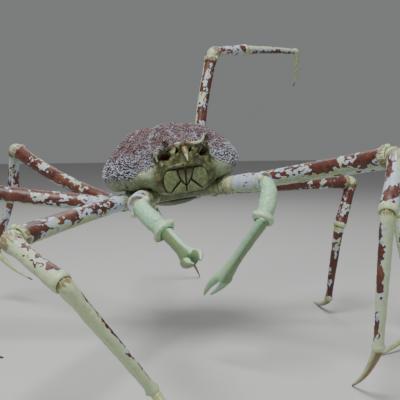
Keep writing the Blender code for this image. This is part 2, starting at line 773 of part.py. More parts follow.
def build():
    """Makes every sub-part."""
    clear_scene()
    legs = []
    for name, pose in LEG_POSE.items():
        side = 1 if name[0] == "L" else -1
        lengths = [a * b for a, b in zip(LEG_LENGTHS, PAIR_LENGTHS[name[1]])]
        legs.append(Limb("leg_" + name, side, name[1], pose, lengths, PAIR_GIRTH[name[1]]))
    arms = [
        Limb("claw_" + name, 1 if name == "L" else -1, "0", pose, CLAW_LENGTHS, 1.0)
        for name, pose in CLAW_POSE.items()
    ]
    carapace()
    small_face_parts()
    thorax(legs + arms)
    abdomen()
    for leg in legs:
        walking_leg(leg)
    for arm in arms:
        claw_arm(arm)


build()
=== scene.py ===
"""The finished shell of a Japanese spider crab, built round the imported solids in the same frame.

Metres, +Z up, the crab's face towards -Y and its left side towards +X.
"""

import math

import bpy
import numpy as np
from mathutils import Matrix, Vector


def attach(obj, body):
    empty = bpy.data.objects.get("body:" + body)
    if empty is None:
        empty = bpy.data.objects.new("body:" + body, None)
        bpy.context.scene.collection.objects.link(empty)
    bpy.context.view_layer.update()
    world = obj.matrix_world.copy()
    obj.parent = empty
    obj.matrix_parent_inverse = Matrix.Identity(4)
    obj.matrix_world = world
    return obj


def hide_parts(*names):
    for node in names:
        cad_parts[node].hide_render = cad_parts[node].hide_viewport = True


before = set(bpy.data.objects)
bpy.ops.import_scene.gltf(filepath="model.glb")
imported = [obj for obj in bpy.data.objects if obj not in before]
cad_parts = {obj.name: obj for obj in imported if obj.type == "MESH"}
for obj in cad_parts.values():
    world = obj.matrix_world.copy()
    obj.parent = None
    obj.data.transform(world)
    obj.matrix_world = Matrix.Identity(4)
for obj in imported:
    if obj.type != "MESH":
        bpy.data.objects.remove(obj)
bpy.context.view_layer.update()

# The body's place: its frame is in shares of the carapace width.
CARAPACE_WIDTH = 0.26
BODY_CENTRE = np.array((0.034, -0.040, 0.358))
BODY_PITCH = -9.0
BODY_ROLL = -7.5
BODY_TURN = np.array(
    Matrix.Rotation(math.radians(BODY_ROLL), 3, "Y") @ Matrix.Rotation(math.radians(BODY_PITCH), 3, "X")
)

# The shell's plain form.
HALF_WIDTH = 0.50
FRONT_REACH = 0.455
REAR_REACH = 0.44
WIDEST_Y = 0.04
MARGIN_Z = -0.05
DOME_HEIGHT = 0.305
RIM_Z = -0.155
RIM_SLOPE = 0.09
BELLY_Z = -0.285
# Swollen regions: the middle and the spread in x and y, and the height.
REGIONS = (
    (0.0, -0.16, 0.13, 0.15, 0.038),
    (0.0, 0.17, 0.09, 0.11, 0.045),
    (0.25, 0.09, 0.12, 0.22, 0.045),
    (-0.25, 0.09, 0.12, 0.22, 0.045),
    (0.23, -0.22, 0.07, 0.07, 0.020),
    (-0.23, -0.22, 0.07, 0.07, 0.020),
)

# Limb roots, lengths and poses, as in the solids.
RING_RADIUS = 0.345
RING_Y = 0.03
RING_Z = -0.24
COXA_LENGTH = {"0": 0.10, "1": 0.10, "2": 0.10, "3": 0.10, "4": 0.15}
COXA_DEPTH = 0.06
ROOT_ANGLE = {"0": 46, "1": 21, "2": -3, "3": -28, "4": -55}
LEG_LENGTHS = (0.325, 0.115, 0.208, 0.122)
PAIR_LENGTHS = {
    "1": (1.015, 1.00, 1.00, 1.00),
    "2": (1.045, 1.00, 1.00, 1.00),
    "3": (0.995, 0.93, 0.84, 0.93),
    "4": (0.97, 0.84, 0.92, 0.92),
}
PAIR_GIRTH = {"0": 1.0, "1": 1.0, "2": 1.0, "3": 0.93, "4": 0.82}
CLAW_LENGTHS = (0.120, 0.085, 0.140, 0.065)
# Each segment's heading and elevation in degrees; None where the tip stands on the floor.
LEG_POSE = {
    "L1": ((-59, 11), (-130, -45), (88, -86), (86, None)),
    "L2": ((-20, 9), (80, -78), (-78, -72), (-166, None)),
    "L3": ((5, 1), (205, -68), (103, -80), (81, None)),
    "L4": ((55, 73), (18, 8), (29, 4), (69, -45)),
    "R1": ((-126, -3), (-54, -22), (17, -53), (-64, None)),
    "R2": ((168, 7), (186, -45), (-29, -59), (-4, None)),
    "R3": ((130, 19), (100, -67), (122, -62), (-33, -32)),
    "R4": ((76, 7), (41, -59), (23, -51), (50, None)),
}
CLAW_POSE = {
    "L": ((-73, 7), (-123, -47), (118, -51), (107, -41)),
    "R": ((-104, 1), (-66, -25), (-90, -5), (-99, 6)),
}
DACTYL_RADII = (
    (0.0, 0.0084), (0.07, 0.0082), (0.25, 0.0068), (0.50, 0.0052), (0.75, 0.0036),
    (0.92, 0.0024), (1.0, 0.0017),
)
FOOT_SINK = 0.0012
DACTYL_BOW = 0.06
SEGMENT_BOW = 0.015

# The camera, as fitted to the photo: turned about the body, a little above it and tipped down.
CAMERA_TURN = np.array(Matrix.Rotation(math.radians(-16), 3, "Z"))
CAMERA_PLACE = BODY_CENTRE + CAMERA_TURN @ np.array((0.0555, -1.19, 0.052))
CAMERA_TILT = math.radians(6)
PICTURE_PIXELS = 400
FOCAL_PIXELS = 620
SENSOR_WIDTH = 36.0
CAMERA_LENS = FOCAL_PIXELS / PICTURE_PIXELS * SENSOR_WIDTH


# Small tools for arrays of points

def unit(vectors):
    """Vectors divided by their lengths."""
    return vectors / np.maximum(np.linalg.norm(vectors, axis=-1, keepdims=True), 1e-12)


def smooth_step(low, high, values):
    """Rises from 0 to 1 between low and high, with level ends: t * t * (3 - 2 * t)."""
    t = np.clip((np.asarray(values, float) - low) / (high - low), 0, 1)
    return t * t * (3 - 2 * t)


def hump(values, middle, spread):
    """A bell curve of height 1: exp of minus the squared distance from its middle in spreads."""
    return np.exp(-(((np.asarray(values) - middle) / spread) ** 2))


def waves(points, size, seed, count=14):
    """Soft irregular lumps, about -1 to 1: a sum of plane waves in random directions."""
    draw = np.random.default_rng(seed)
    directions = unit(draw.normal(size=(count, 3))) * (2 * math.pi / size)
    directions *= draw.uniform(0.6, 1.5, size=(count, 1))
    phases = draw.uniform(0, 2 * math.pi, size=count)
    total = np.zeros(points.shape[:-1])
    for direction, phase in zip(directions, phases):
        total += np.sin(points @ direction + phase)
    return total / math.sqrt(count)


def to_world(points):
    """Body coordinates, in carapace widths, to the world."""
    return np.asarray(points, float) * CARAPACE_WIDTH @ BODY_TURN.T + BODY_CENTRE


def bezier(points, t):
    """A point at share t of the smooth curve that a few points draw, by repeated halfway lines."""
    rows = [np.asarray(p, float) for p in points]
    t = np.asarray(t, float)[..., None]
    while len(rows) > 1:
        rows = [a * (1 - t) + b * t for a, b in zip(rows, rows[1:])]
    return rows[0]


def stations(profile, count):
    """A profile's shares and radii, and even places along it with its own shares among them."""
    shares, radii = np.array(profile).T
    places = np.sort(np.concatenate([np.linspace(shares[0], shares[-1], count), shares[1:-1]]))
    return shares, radii, places


def circle(sides):
    """Evenly spaced angles once round, in radians."""
    return np.linspace(0, 2 * math.pi, sides, endpoint=False)


def spokes(first, second, turn):
    """At each angle, the first direction times its cosine plus the second times its sine."""
    return first[..., None, :] * np.cos(turn)[:, None] + second[..., None, :] * np.sin(turn)[:, None]


def mirror(points, side):
    """Points in body coordinates, swapped left for right where the side is -1."""
    return np.array(points) * np.array((side, 1, 1))


def grid_faces(rows, sides):
    """The quads between rings of points, and the triangles that join each end to a point of its own."""
    row, side = np.meshgrid(np.arange(rows - 1), np.arange(sides), indexing="ij")
    near, far = row * sides + side, row * sides + (side + 1) % sides
    quads = np.stack([near, far, far + sides, near + sides], -1).reshape(-1, 4)
    ring = np.arange(sides)
    after = (ring + 1) % sides
    last = (rows - 1) * sides
    first_fan = np.stack([after, ring, np.full(sides, rows * sides)], -1)
    last_fan = np.stack([last + ring, last + after, np.full(sides, rows * sides + 1)], -1)
    return quads, np.concatenate([first_fan, last_fan])


def show(name, data):
    """A new object of the scene: a mesh, a lamp or the camera."""
    made = bpy.data.objects.new(name, data)
    bpy.context.scene.collection.objects.link(made)
    return made


class Skin:
    """Closed surfaces gathered into one piece, with the values that its material reads."""

    def __init__(self):
        self.points, self.quads, self.tris, self.values = [], [], [], {}
        self.count = 0

    def add_grid(self, grid, **values):
        """A closed surface: rings of points, each joined to the next, with a point at either end.

        A value is one number for the whole surface, or an array with one for each point of the grid.
        """
        rows, sides = grid.shape[:2]
        start, end = grid[0].mean(0), grid[-1].mean(0)
        points = np.concatenate([grid.reshape(-1, 3), [start, end]])
        spread = {}
        for name, value in values.items():
            value = np.broadcast_to(np.asarray(value, float), (rows, sides))
            spread[name] = np.concatenate([value.ravel(), [value[0].mean(), value[-1].mean()]])
        self.add(points, *grid_faces(rows, sides), spread)
        return self

    def add(self, points, quads, tris, values):
        """One closed surface from its points and faces, turned so that its faces point outwards."""
        corners = np.concatenate([quads[:, [0, 1, 2]], quads[:, [0, 2, 3]], tris])
        a, b, c = (points[corners[:, k]] - points.mean(0) for k in range(3))
        if np.einsum("ij,ij->i", a, np.cross(b, c)).sum() < 0:
            quads, tris = quads[:, ::-1], tris[:, ::-1]
        self.quads.append(quads + self.count)
        self.tris.append(tris + self.count)
        self.points.append(points)
        for name, value in values.items():
            self.values.setdefault(name, {})[self.count] = value
        self.count += len(points)

    def piece(self, name, look, nodes=()):
        """Makes the object, which rides on the body, wears its look and stands for its CAD nodes."""
        finish, slot = LOOKS[look]
        points = np.concatenate(self.points)
        quads, tris = np.concatenate(self.quads), np.concatenate(self.tris)
        mesh = bpy.data.meshes.new(name)
        mesh.vertices.add(len(points))
        mesh.vertices.foreach_set("co", points.astype(np.float32).ravel())
        loops = np.concatenate([quads.ravel(), tris.ravel()])
        in_quads = len(quads) * 4
        starts = np.concatenate([np.arange(0, in_quads, 4), in_quads + np.arange(len(tris)) * 3])
        mesh.loops.add(len(loops))
        mesh.loops.foreach_set("vertex_index", loops.astype(np.int32))
        mesh.polygons.add(len(starts))
        mesh.polygons.foreach_set("loop_start", starts.astype(np.int32))
        mesh.update(calc_edges=True)
        mesh.shade_smooth()
        for key, parts in self.values.items():
            whole = np.zeros(len(points), np.float32)
            for start, value in parts.items():
                whole[start:start + len(value)] = value
            mesh.attributes.new(key, "FLOAT", "POINT").data.foreach_set("value", whole)
        mesh.materials.append(finish)
        made = show(name, mesh)
        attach(made, "root")
        if nodes:
            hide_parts(*nodes)


# Shader maths

class Value:
    """A shader socket, or its result, with the usual signs of arithmetic."""

    def __init__(self, graph, socket):
        self.graph, self.socket = graph, socket

    def sum(self, other):
        return self.graph.maths("ADD", self, other)

    def less(self, other):
        return self.graph.maths("SUBTRACT", self, other)

    def less_from(self, other):
        return self.graph.maths("SUBTRACT", other, self)

    def times(self, other):
        return self.graph.maths("MULTIPLY", self, other)

    __add__ = __radd__ = sum
    __mul__ = __rmul__ = times
    __sub__, __rsub__ = less, less_from


class Graph:
    """The node graph of one material."""

    def __init__(self, name):
        self.material = bpy.data.materials.new(name)
        self.material.use_nodes = True
        self.tree = self.material.node_tree
        self.shader = self.tree.nodes["Principled BSDF"]

    def node(self, kind, settings=None, inputs=None, output=0):
        """Makes a node: its settings first, then the values or links of its sockets."""
        made = self.tree.nodes.new(kind)
        for key, value in (settings or {}).items():
            setattr(made, key, value)
        for key, value in (inputs or {}).items():
            self.feed(made.inputs[key], value)
        return Value(self, made.outputs[output])

    def feed(self, socket, value):
        """Links a value to a socket, or sets the socket to a number or colour."""
        if isinstance(value, Value):
            self.tree.links.new(value.socket, socket)
        elif isinstance(value, tuple) and len(value) == 3 and socket.type == "RGBA":
            socket.default_value = (*value, 1)
        else:
            socket.default_value = value

    def maths(self, operation, a, b=0.0):
        return self.node("ShaderNodeMath", {"operation": operation}, {0: a, 1: b})

    def read(self, name):
        """A value that the piece carries at each of its points."""
        return self.node("ShaderNodeAttribute", {"attribute_name": name}, output=2)

    def place(self):
        """The point on the object, in metres."""
        return self.node("ShaderNodeTexCoord", output=3)

    def vector(self, x, y, z):
        return self.node("ShaderNodeCombineXYZ", {}, {0: x, 1: y, 2: z})

    def noise(self, vector, scale, detail=2.0, roughness=0.5, distortion=0.0):
        """Soft noise from 0 to 1, about 0.5."""
        inputs = {
            "Vector": vector, "Scale": scale, "Detail": detail,
            "Roughness": roughness, "Distortion": distortion,
        }
        return self.node("ShaderNodeTexNoise", {}, inputs)

    def cells(self, vector, scale):
        """The distance to the nearest of many scattered points."""
        return self.node("ShaderNodeTexVoronoi", {}, {"Vector": vector, "Scale": scale})

    def rise(self, value, low, high):
        """A smooth rise from 0 to 1 as the value goes from low to high."""
        inputs = {"Value": value, "From Min": low, "From Max": high, "To Min": 0.0, "To Max": 1.0}
        return self.node("ShaderNodeMapRange", {"interpolation_type": "SMOOTHSTEP"}, inputs)

    def blend(self, factor, a, b):
        """Colour a where the factor is 0 and colour b where it is 1."""
        return self.node("ShaderNodeMix", {"data_type": "RGBA"}, {0: factor, 6: a, 7: b}, output=2)

    def coat(self, under, value, low, high, colour, amount=None):
        """Lays a colour over another as the value rises from low to high, at most by the amount."""
        mask = self.rise(value, low, high)
        return self.blend(mask if amount is None else mask * amount, under, colour)

    def finish(self, colour, roughness, height=None, bump=0.3, distance=0.001):
        """Feeds the shader: its colour, its roughness and the relief of its surface."""
        self.feed(self.shader.inputs["Base Color"], colour)
        self.feed(self.shader.inputs["Roughness"], roughness)
        if height is not None:
            inputs = {"Strength": bump, "Distance": distance, "Height": height}
            relief = self.node("ShaderNodeBump", {}, inputs)
            self.feed(self.shader.inputs["Normal"], relief)
        return self.material


# Colours, as a maker would mix them
MAUVE = (0.150, 0.088, 0.094)
PLUM = (0.070, 0.040, 0.042)
LILAC = (0.25, 0.225, 0.26)
GAP_BROWN = (0.080, 0.062, 0.058)
RIM_GREEN = (0.26, 0.32, 0.20)
RIM_MOTTLE = (0.155, 0.19, 0.105)
FACE_OLIVE = (0.046, 0.056, 0.020)
FACE_YELLOW = (0.185, 0.195, 0.075)
# Mint of the face, partly its own colour and partly painted highlight on its ridges.
FACE_MINT_AND_HIGHLIGHT = (0.33, 0.42, 0.29)
# Brown of the face, partly its own patches and partly painted shade in its hollows.
FACE_BROWN_AND_SHADE = (0.085, 0.032, 0.020)
# Painted shade in the mouth opening, orbits, pits and along the mouth plates' edges, and the palps' own brown
# stain.
SHADE_AND_STAIN_BROWN = (0.045, 0.020, 0.010)
TOOTH_BROWN = (0.175, 0.110, 0.042)
CREAM = (0.46, 0.565, 0.335)
# Cream-green of the legs' undersides, partly their own colour and partly painted shade.
CREAM_GREEN_SHADE = (0.27, 0.36, 0.15)
FROST = (0.43, 0.50, 0.60)
RUST = (0.115, 0.031, 0.017)
RUST_DARK = (0.048, 0.014, 0.012)
RUST_ORANGE = (0.180, 0.072, 0.030)
OCHRE = (0.36, 0.27, 0.085)
STAIN_BROWN = (0.170, 0.085, 0.030)
MINT = (0.32, 0.56, 0.375)
HORN_BROWN = (0.09, 0.035, 0.015)
BUMP_MAUVE = (0.185, 0.105, 0.110)
BUMP_GREY = (0.205, 0.165, 0.168)
BUMP_PALE = (0.40, 0.435, 0.52)
BUMP_FOOT = (0.13, 0.11, 0.12)
TOOTH_OLIVE = (0.20, 0.205, 0.085)
TOOTH_CREAM = (0.50, 0.55, 0.43)
TOE_OLIVE = (0.36, 0.37, 0.14)
TOE_BROWN = (0.16, 0.065, 0.03)
# Painted shade on the claws: the green of their shaded side.
CLAW_GREEN_SHADE = (0.22, 0.33, 0.12)
CLAW_YELLOW = (0.50, 0.54, 0.24)
# Olive of the claws' shaded side, partly their own colour and partly painted shade.
CLAW_OLIVE_SHADE = (0.105, 0.145, 0.048)
CLAW_WRINKLE = (0.26, 0.31, 0.13)
COLLAR_CREAM = (0.56, 0.60, 0.33)
ROOT_OLIVE = (0.125, 0.155, 0.065)
ROOT_PALE = (0.31, 0.36, 0.22)
ROOT_OCHRE = (0.27, 0.19, 0.055)
ROOT_BROWN = (0.085, 0.035, 0.018)
# Dark olive of the chest and tail plate, partly their own colour and partly painted shade under the body.
CHEST_DARK_SHADE = (0.050, 0.066, 0.030)
CHEST_OLIVE = (0.135, 0.165, 0.080)
CHEST_BROWN = (0.075, 0.050, 0.022)
PLATE_OLIVE = (0.125, 0.155, 0.060)
PLATE_PALE = (0.205, 0.245, 0.120)
EYE_BLACK = (0.020, 0.010, 0.006)
EYE_BROWN = (0.075, 0.038, 0.020)
FLOOR_GREY = (0.52, 0.52, 0.51)


def shell_finish():
    """The carapace: mauve and plum on top, a dark belt between pale tubercles, a green-cream rim, and on the
    face painted shade in the mouth opening, orbits and pits, brown partly as painted shade and mint partly as
    painted highlight.
    """
    g = Graph("carapace_shell")
    p = g.place()
    broad = g.noise(p, 22.0, 3.0, 0.6)
    fine = g.noise(p, 120.0, 3.0, 0.6)
    grain = g.noise(p, 700.0, 2.0, 0.5)
    belt, rim, face, seam, streak = (g.read(n) for n in ("belt", "rim", "face", "seam", "streak"))
    top = g.coat(PLUM, broad * 0.6 + fine * 0.4, 0.40, 0.60, MAUVE)
    top = g.coat(top, fine, 0.55, 0.75, LILAC, 0.5)
    top = g.coat(top, streak + fine * 0.5, 0.55, 0.95, FROST, 0.6)
    colour = g.blend(belt, top, GAP_BROWN)
    band = g.coat(RIM_MOTTLE, fine * 0.6 + broad * 0.4, 0.44, 0.60, RIM_GREEN)
    colour = g.coat(colour, rim + (broad - 0.5) * 0.5, 0.38, 0.62, band)
    olive = g.coat(FACE_OLIVE, broad * 0.3 + g.noise(p, 85.0, 3.0, 0.65) * 0.7, 0.42, 0.60, FACE_YELLOW)
    colour = g.coat(colour, face + (fine - 0.5) * 0.7 + (broad - 0.5) * 0.5, 0.25, 0.85, olive)
    # Mint places: partly the face's own pale patches, partly painted highlight on its ridges and brows.
    colour = g.coat(colour, g.read("mint") + (fine - 0.5) * 1.7, 0.45, 0.85, FACE_MINT_AND_HIGHLIGHT, 0.9)
    # Brown places: partly brown patches, partly painted shade in the orbits and hollows.
    colour = g.coat(colour, g.read("brown") + (fine - 0.5) * 0.9, 0.35, 0.80, FACE_BROWN_AND_SHADE)
    # Painted shade: dark brown in the mouth opening, under the mouth arch, in the orbits and in small pits.
    colour = g.coat(colour, seam + (fine - 0.5) * 0.3, 0.25, 0.85, SHADE_AND_STAIN_BROWN)
    height = fine * 0.6 + grain * 0.4
    return g.finish(colour, rim * -0.12 + grain * 0.15 + 0.48, height, 0.55, 0.0016)


def tubercle_finish():
    """Tubercles: mauve at the foot, lilac-white at the tip, paler and bluer on the flanks."""
    g = Graph("tubercles")
    tip, tint = g.read("tip"), g.read("tint")
    p = g.place()
    grain = g.noise(p, 500.0, 2.0)
    patch = g.noise(p, 60.0, 3.0)
    tone = g.rise(tint + (patch - 0.5) * 1.6, 0.15, 0.95)
    mauve = g.coat(BUMP_MAUVE, g.noise(p, 30.0, 3.0), 0.45, 0.60, BUMP_GREY)
    pale = g.blend(tone, mauve, BUMP_PALE)
    foot = g.blend(tone, PLUM, BUMP_FOOT)
    colour = g.coat(foot, tip + (grain - 0.5) * 0.4, 0.05, 0.85, pale)
    return g.finish(colour, 0.42, grain, 0.3, 0.0006)


def spine_finish():
    """Spines of the face: brown-orange and olive at the foot, cream-white at the tip."""
    g = Graph("face_spines")
    tip = g.read("tip")
    fine = g.noise(g.place(), 240.0, 3.0)
    patch = g.noise(g.place(), 90.0, 2.0)
    foot = g.coat(TOOTH_BROWN, fine * 0.4 + patch * 0.6, 0.44, 0.58, TOOTH_OLIVE)
    colour = g.coat(foot, tip + (fine - 0.5) * 0.9, 0.25, 0.65, TOOTH_CREAM)
    return g.finish(colour, 0.4, fine, 0.45, 0.0012)


def leg_finish():
    """Walking legs: rust and maroon patches with sharp edges over cream and frost, a darker cream-green below
    that is partly painted shade.

    The piece says how far rust covers each point; noise drawn out along the leg breaks its edges up.
    """
    g = Graph("leg_shell")
    across, up, along = g.read("across"), g.read("up"), g.read("along")
    back, cover, spots, joint = g.read("back"), g.read("cover"), g.read("spots"), g.read("joint")
    p = g.vector(across, up, along * 0.45)
    q = g.vector(across, up, along)
    patch = g.noise(p, 80.0, 2.0, 0.55, 0.4)
    speck = g.noise(p, 230.0, 2.5, 0.6, 0.2)
    fine = g.noise(q, 260.0, 3.0)
    grain = g.noise(q, 900.0, 2.0)
    cell = g.cells(g.vector(across, up, along * 0.6), 120.0)
    dots = g.rise(cell + (speck - 0.5) * 0.5, 0.50, 0.36) * spots
    field = cover + (patch - 0.5) * 2.6 + (speck - 0.5) * 1.8 - dots * 1.2
    mask = g.rise(field, -0.04, 0.04)
    # Painted shade: the pale shell turns a darker cream-green on the side facing down.
    pale = g.coat(CREAM_GREEN_SHADE, back + (fine - 0.5) * 0.9, -0.75, 0.15, CREAM)
    pale = g.coat(pale, cover + g.read("frost") * 1.6 + (fine - 0.5) * 1.2, -0.75, 0.1, FROST)
    pale = g.coat(pale, speck, 0.56, 0.66, OCHRE, 0.35)
    rusty = g.coat(RUST_DARK, fine * 0.5 + patch * 0.5, 0.40, 0.60, RUST)
    rusty = g.coat(rusty, g.noise(q, 40.0, 2.0), 0.50, 0.70, RUST_ORANGE, 0.6)
    colour = g.blend(mask, pale, rusty)
    streaky = g.noise(g.vector(across, up, along * 0.25), 420.0, 2.0)
    colour = g.coat(colour, g.read("stain") + (streaky - 0.5) * 2.4, 0.62, 0.90, STAIN_BROWN, 0.8)
    colour = g.coat(colour, joint + (fine - 0.5) * 0.9, 0.25, 1.0, OCHRE, 0.85)
    height = fine * 0.5 + grain * 0.3 + mask * 0.25
    return g.finish(colour, mask * 0.06 + grain * 0.2 + 0.30, height, 0.3, 0.0008)


def toe_finish():
    """Leg tips: olive-cream, darker along the outer edge, brown and horny at the point."""
    g = Graph("leg_tips")
    back, share = g.read("back"), g.read("share")
    p = g.vector(g.read("across"), g.read("up"), g.read("along") * 0.3)
    fine = g.noise(p, 300.0, 3.0)
    colour = g.coat(TOE_OLIVE, fine, 0.35, 0.65, CREAM)
    colour = g.coat(colour, back + (fine - 0.5) * 0.6, 0.35, 0.85, TOE_BROWN, 0.8)
    colour = g.coat(colour, share + (fine - 0.5) * 0.12, 0.84, 0.96, HORN_BROWN)
    return g.finish(colour, 0.38, fine, 0.3, 0.0006)


def claw_finish():
    """Claw arms: mint-cream with fine cross wrinkles, painted darker green and olive as shade on the side
    away from the light, ochre in the joints.
    """
    g = Graph("claw_shell")
    back, inner, joint, along = (g.read(n) for n in ("back", "inner", "joint", "along"))
    across, up = g.read("across"), g.read("up")
    p = g.place()
    fine = g.noise(p, 300.0, 3.0)
    broad = g.noise(p, 45.0, 2.0)
    wrinkle = g.noise(g.vector(across, up, along * 1.8), 300.0, 2.0, 0.5, 0.6)
    # Painted shade: darker green on the side that faces away from the light.
    colour = g.coat(CLAW_GREEN_SHADE, back + (broad - 0.5) * 1.2, -0.8, 0.3, MINT)
    colour = g.coat(colour, fine * 0.5 + broad * 0.5, 0.50, 0.66, CLAW_YELLOW, 0.5)
    # Painted shade: olive where the piece marks its shaded side, partly the claw's own olive.
    colour = g.coat(colour, inner + (fine - 0.5) * 0.5, 0.05, 0.75, CLAW_OLIVE_SHADE, 0.9)
    colour = g.coat(colour, wrinkle, 0.55, 0.70, CLAW_WRINKLE, 0.4)
    colour = g.coat(colour, g.read("rim"), 0.3, 0.9, COLLAR_CREAM, 0.6)
    colour = g.coat(colour, joint + (fine - 0.5) * 0.6, 0.35, 0.9, OCHRE)
    return g.finish(colour, 0.33 + fine * 0.15, fine * 0.5 + wrinkle * 0.5, 0.5, 0.0016)


def under_finish():
    """The leg roots: olive with ochre stains and brown rings, lavender-white towards the leg."""
    g = Graph("under_shell")
    p = g.place()
    fine = g.noise(p, 180.0, 3.0)
    broad = g.noise(p, 55.0, 3.0)
    colour = g.coat(ROOT_OLIVE, fine * 0.4 + broad * 0.6, 0.42, 0.58, ROOT_PALE)
    colour = g.coat(colour, g.noise(p, 75.0, 2.0), 0.52, 0.62, ROOT_OCHRE, 0.7)
    colour = g.coat(colour, g.read("frost") + (fine - 0.5) * 1.0, 0.35, 0.8, FROST)
    colour = g.coat(colour, g.read("groove") + (fine - 0.5) * 0.6, 0.3, 0.8, ROOT_BROWN)
    return g.finish(colour, 0.42 + fine * 0.1, fine, 0.35, 0.0012)


def chest_finish():
    """The chest: dark olive-green, partly its own colour and partly painted shade under the body, paler in
    patches, brown in the grooves.
    """
    g = Graph("chest")
    p = g.place()
    fine = g.noise(p, 170.0, 3.0)
    broad = g.noise(p, 34.0, 3.0)
    # Painted shade: the chest is painted darker olive to stand for the shade under the body.
    colour = g.coat(CHEST_DARK_SHADE, fine * 0.4 + broad * 0.6, 0.42, 0.60, CHEST_OLIVE)
    colour = g.coat(colour, g.read("groove") + (fine - 0.5) * 0.6, 0.3, 0.8, CHEST_BROWN)
    return g.finish(colour, 0.45 + fine * 0.1, fine, 0.35, 0.0012)


def mouth_finish():
    """Mouth plates: olive, painted dark brown along their edges as shade in the gaps, with a brown stain on
    the palps.
    """
    g = Graph("mouth_plates")
    fine = g.noise(g.place(), 200.0, 3.0)
    # Painted shade along each plate's edge, and the palps' own brown stain.
    edge = g.read("edge") + g.read("stain") * 0.7
    colour = g.coat(PLATE_OLIVE, fine, 0.38, 0.62, PLATE_PALE)
    colour = g.coat(colour, edge + (fine - 0.5) * 0.6, 0.35, 0.85, SHADE_AND_STAIN_BROWN)
    return g.finish(colour, 0.4, fine, 0.3, 0.0008)


def eye_finish():
    """Eyes: a glossy dark brown cap with very fine facets."""
    g = Graph("eye_caps")
    facets = g.cells(g.place(), 2600.0)
    tip = g.noise(g.place(), 150.0, 1.0)
    colour = g.coat(EYE_BLACK, tip, 0.35, 0.7, EYE_BROWN)
    g.shader.inputs["Coat Weight"].default_value = 0.6
    return g.finish(colour, 0.14, facets, 0.15, 0.0003)


# Each look is a finish and the name of a slot.
LOOKS = {
    "shell": (shell_finish(), "shell_top"),
    "tubercle": (tubercle_finish(), "shell_top"),
    "spine": (spine_finish(), "shell_pale"),
    "leg": (leg_finish(), "leg_rust"),
    "toe": (toe_finish(), "claw_pale"),
    "claw": (claw_finish(), "claw_pale"),
    "under": (under_finish(), "shell_pale"),
    "chest": (chest_finish(), "shell_pale"),
    "mouth": (mouth_finish(), "shell_pale"),
    "eye": (eye_finish(), "eye_dark"),
}


# The carapace

def outline_radius(angle):
    """The outline in plan: an ellipse behind, and in front one that is pinched beside the snout."""
    c, s = np.cos(angle), np.sin(angle)
    behind = 1 / np.sqrt((c / HALF_WIDTH) ** 2 + (s / REAR_REACH) ** 2)
    before = 1 / np.sqrt((c / HALF_WIDTH) ** 2 + (s / (FRONT_REACH + WIDEST_Y)) ** 2)
    away = np.abs(np.arccos(np.clip(np.cos(angle + math.pi / 2), -1, 1)))
    waist = 1 - 0.13 * hump(away, math.radians(32), math.radians(17))
    return np.where(s >= 0, behind, before * waist)


def region_height(x, y):
    """The swollen regions: bell-shaped mounds in plan."""
    return sum(h * hump(x, cx, sx) * hump(y, cy, sy) for cx, cy, sx, sy, h in REGIONS)


def shell_point(angle, tilt):
    """The plain shell: the outline times the sine of the tilt, lifted by the cosine of the tilt."""
    angle, tilt = np.broadcast_arrays(angle, tilt)
    radius = outline_radius(angle) * np.sin(tilt) ** 0.93
    x, y = radius * np.cos(angle), radius * np.sin(angle) + WIDEST_Y
    rise = np.cos(tilt)
    snout = np.maximum(0, -y - 0.12)
    lift = np.maximum(rise, 0)
    above = MARGIN_Z + 0.22 * snout * (1 - lift) + (DOME_HEIGHT - 0.30 * snout) * lift ** 1.15
    above = above + region_height(x, y) * lift
    below = MARGIN_Z + 0.22 * snout * (1 + rise) + 0.20 * rise
    return np.stack([x, y, np.where(rise >= 0, above, below)], -1)


SHELL_MIDDLE = np.array((0, WIDEST_Y, MARGIN_Z))


def plain_reach(angle, polar):
    """How far the plain shell reaches from its middle, read along each meridian at polar angles."""
    tilts = np.radians(np.linspace(0.5, 178, 260))
    curve = shell_point(angle[None, :], tilts[:, None]) - SHELL_MIDDLE
    plan = np.hypot(curve[..., 0], curve[..., 1])
    turn = np.arctan2(plan, curve[..., 2])
    reach = np.linalg.norm(curve, axis=-1)
    columns = [np.interp(polar, turn[:, k], reach[:, k]) for k in range(len(angle))]
    return np.stack(columns, 1)


HEAD_LEVELS = (-0.24, -0.225, -0.19, -0.14, -0.07, 0.03)
HEAD_HALF = (0.140, 0.175, 0.195, 0.198, 0.185, 0.135)
HEAD_FRONT = (-0.355, -0.368, -0.386, -0.398, -0.405, -0.388)
HEAD_BACK = -0.10


def head_distance(p):
    """Distance from the mouth frame: a block with rounded corners that narrows downwards."""
    z = p[..., 2]
    half, front = np.interp(z, HEAD_LEVELS, HEAD_HALF), np.interp(z, HEAD_LEVELS, HEAD_FRONT)
    middle, deep = (front + HEAD_BACK) / 2, (HEAD_BACK - front) / 2
    flat = (np.abs(p[..., 0] / half) ** 3.2 + np.abs((p[..., 1] - middle) / deep) ** 3.2) ** (1 / 3.2)
    side = (flat - 1) * np.minimum(half, deep)
    return np.maximum(side, np.maximum(HEAD_LEVELS[0] - z, z - 0.03))


def rod_distance(p, a, b, ra, rb):
    """Distance from a round rod that tapers from radius ra at a to rb at b."""
    a, b = np.asarray(a), np.asarray(b)
    line = b - a
    t = np.clip((p - a) @ line / (line @ line), 0, 1)
    return np.linalg.norm(p - a - t[..., None] * line, axis=-1) - (ra + (rb - ra) * t)


def ball_distance(p, centre, radii):
    """Distance from an egg: length in radii less 1, times the smallest radius."""
    scaled = np.linalg.norm((p - np.asarray(centre)) / np.asarray(radii), axis=-1)
    return (scaled - 1) * min(radii)


def soft_union(a, b, width):
    """The smaller of two distances, rounded where they meet over a width."""
    h = np.clip(0.5 + 0.5 * (b - a) / width, 0, 1)
    return b * (1 - h) + a * h - width * h * (1 - h)


def soft_cut(a, b, width):
    """Takes form b out of form a, rounded where they meet."""
    return -soft_union(-a, b, width)


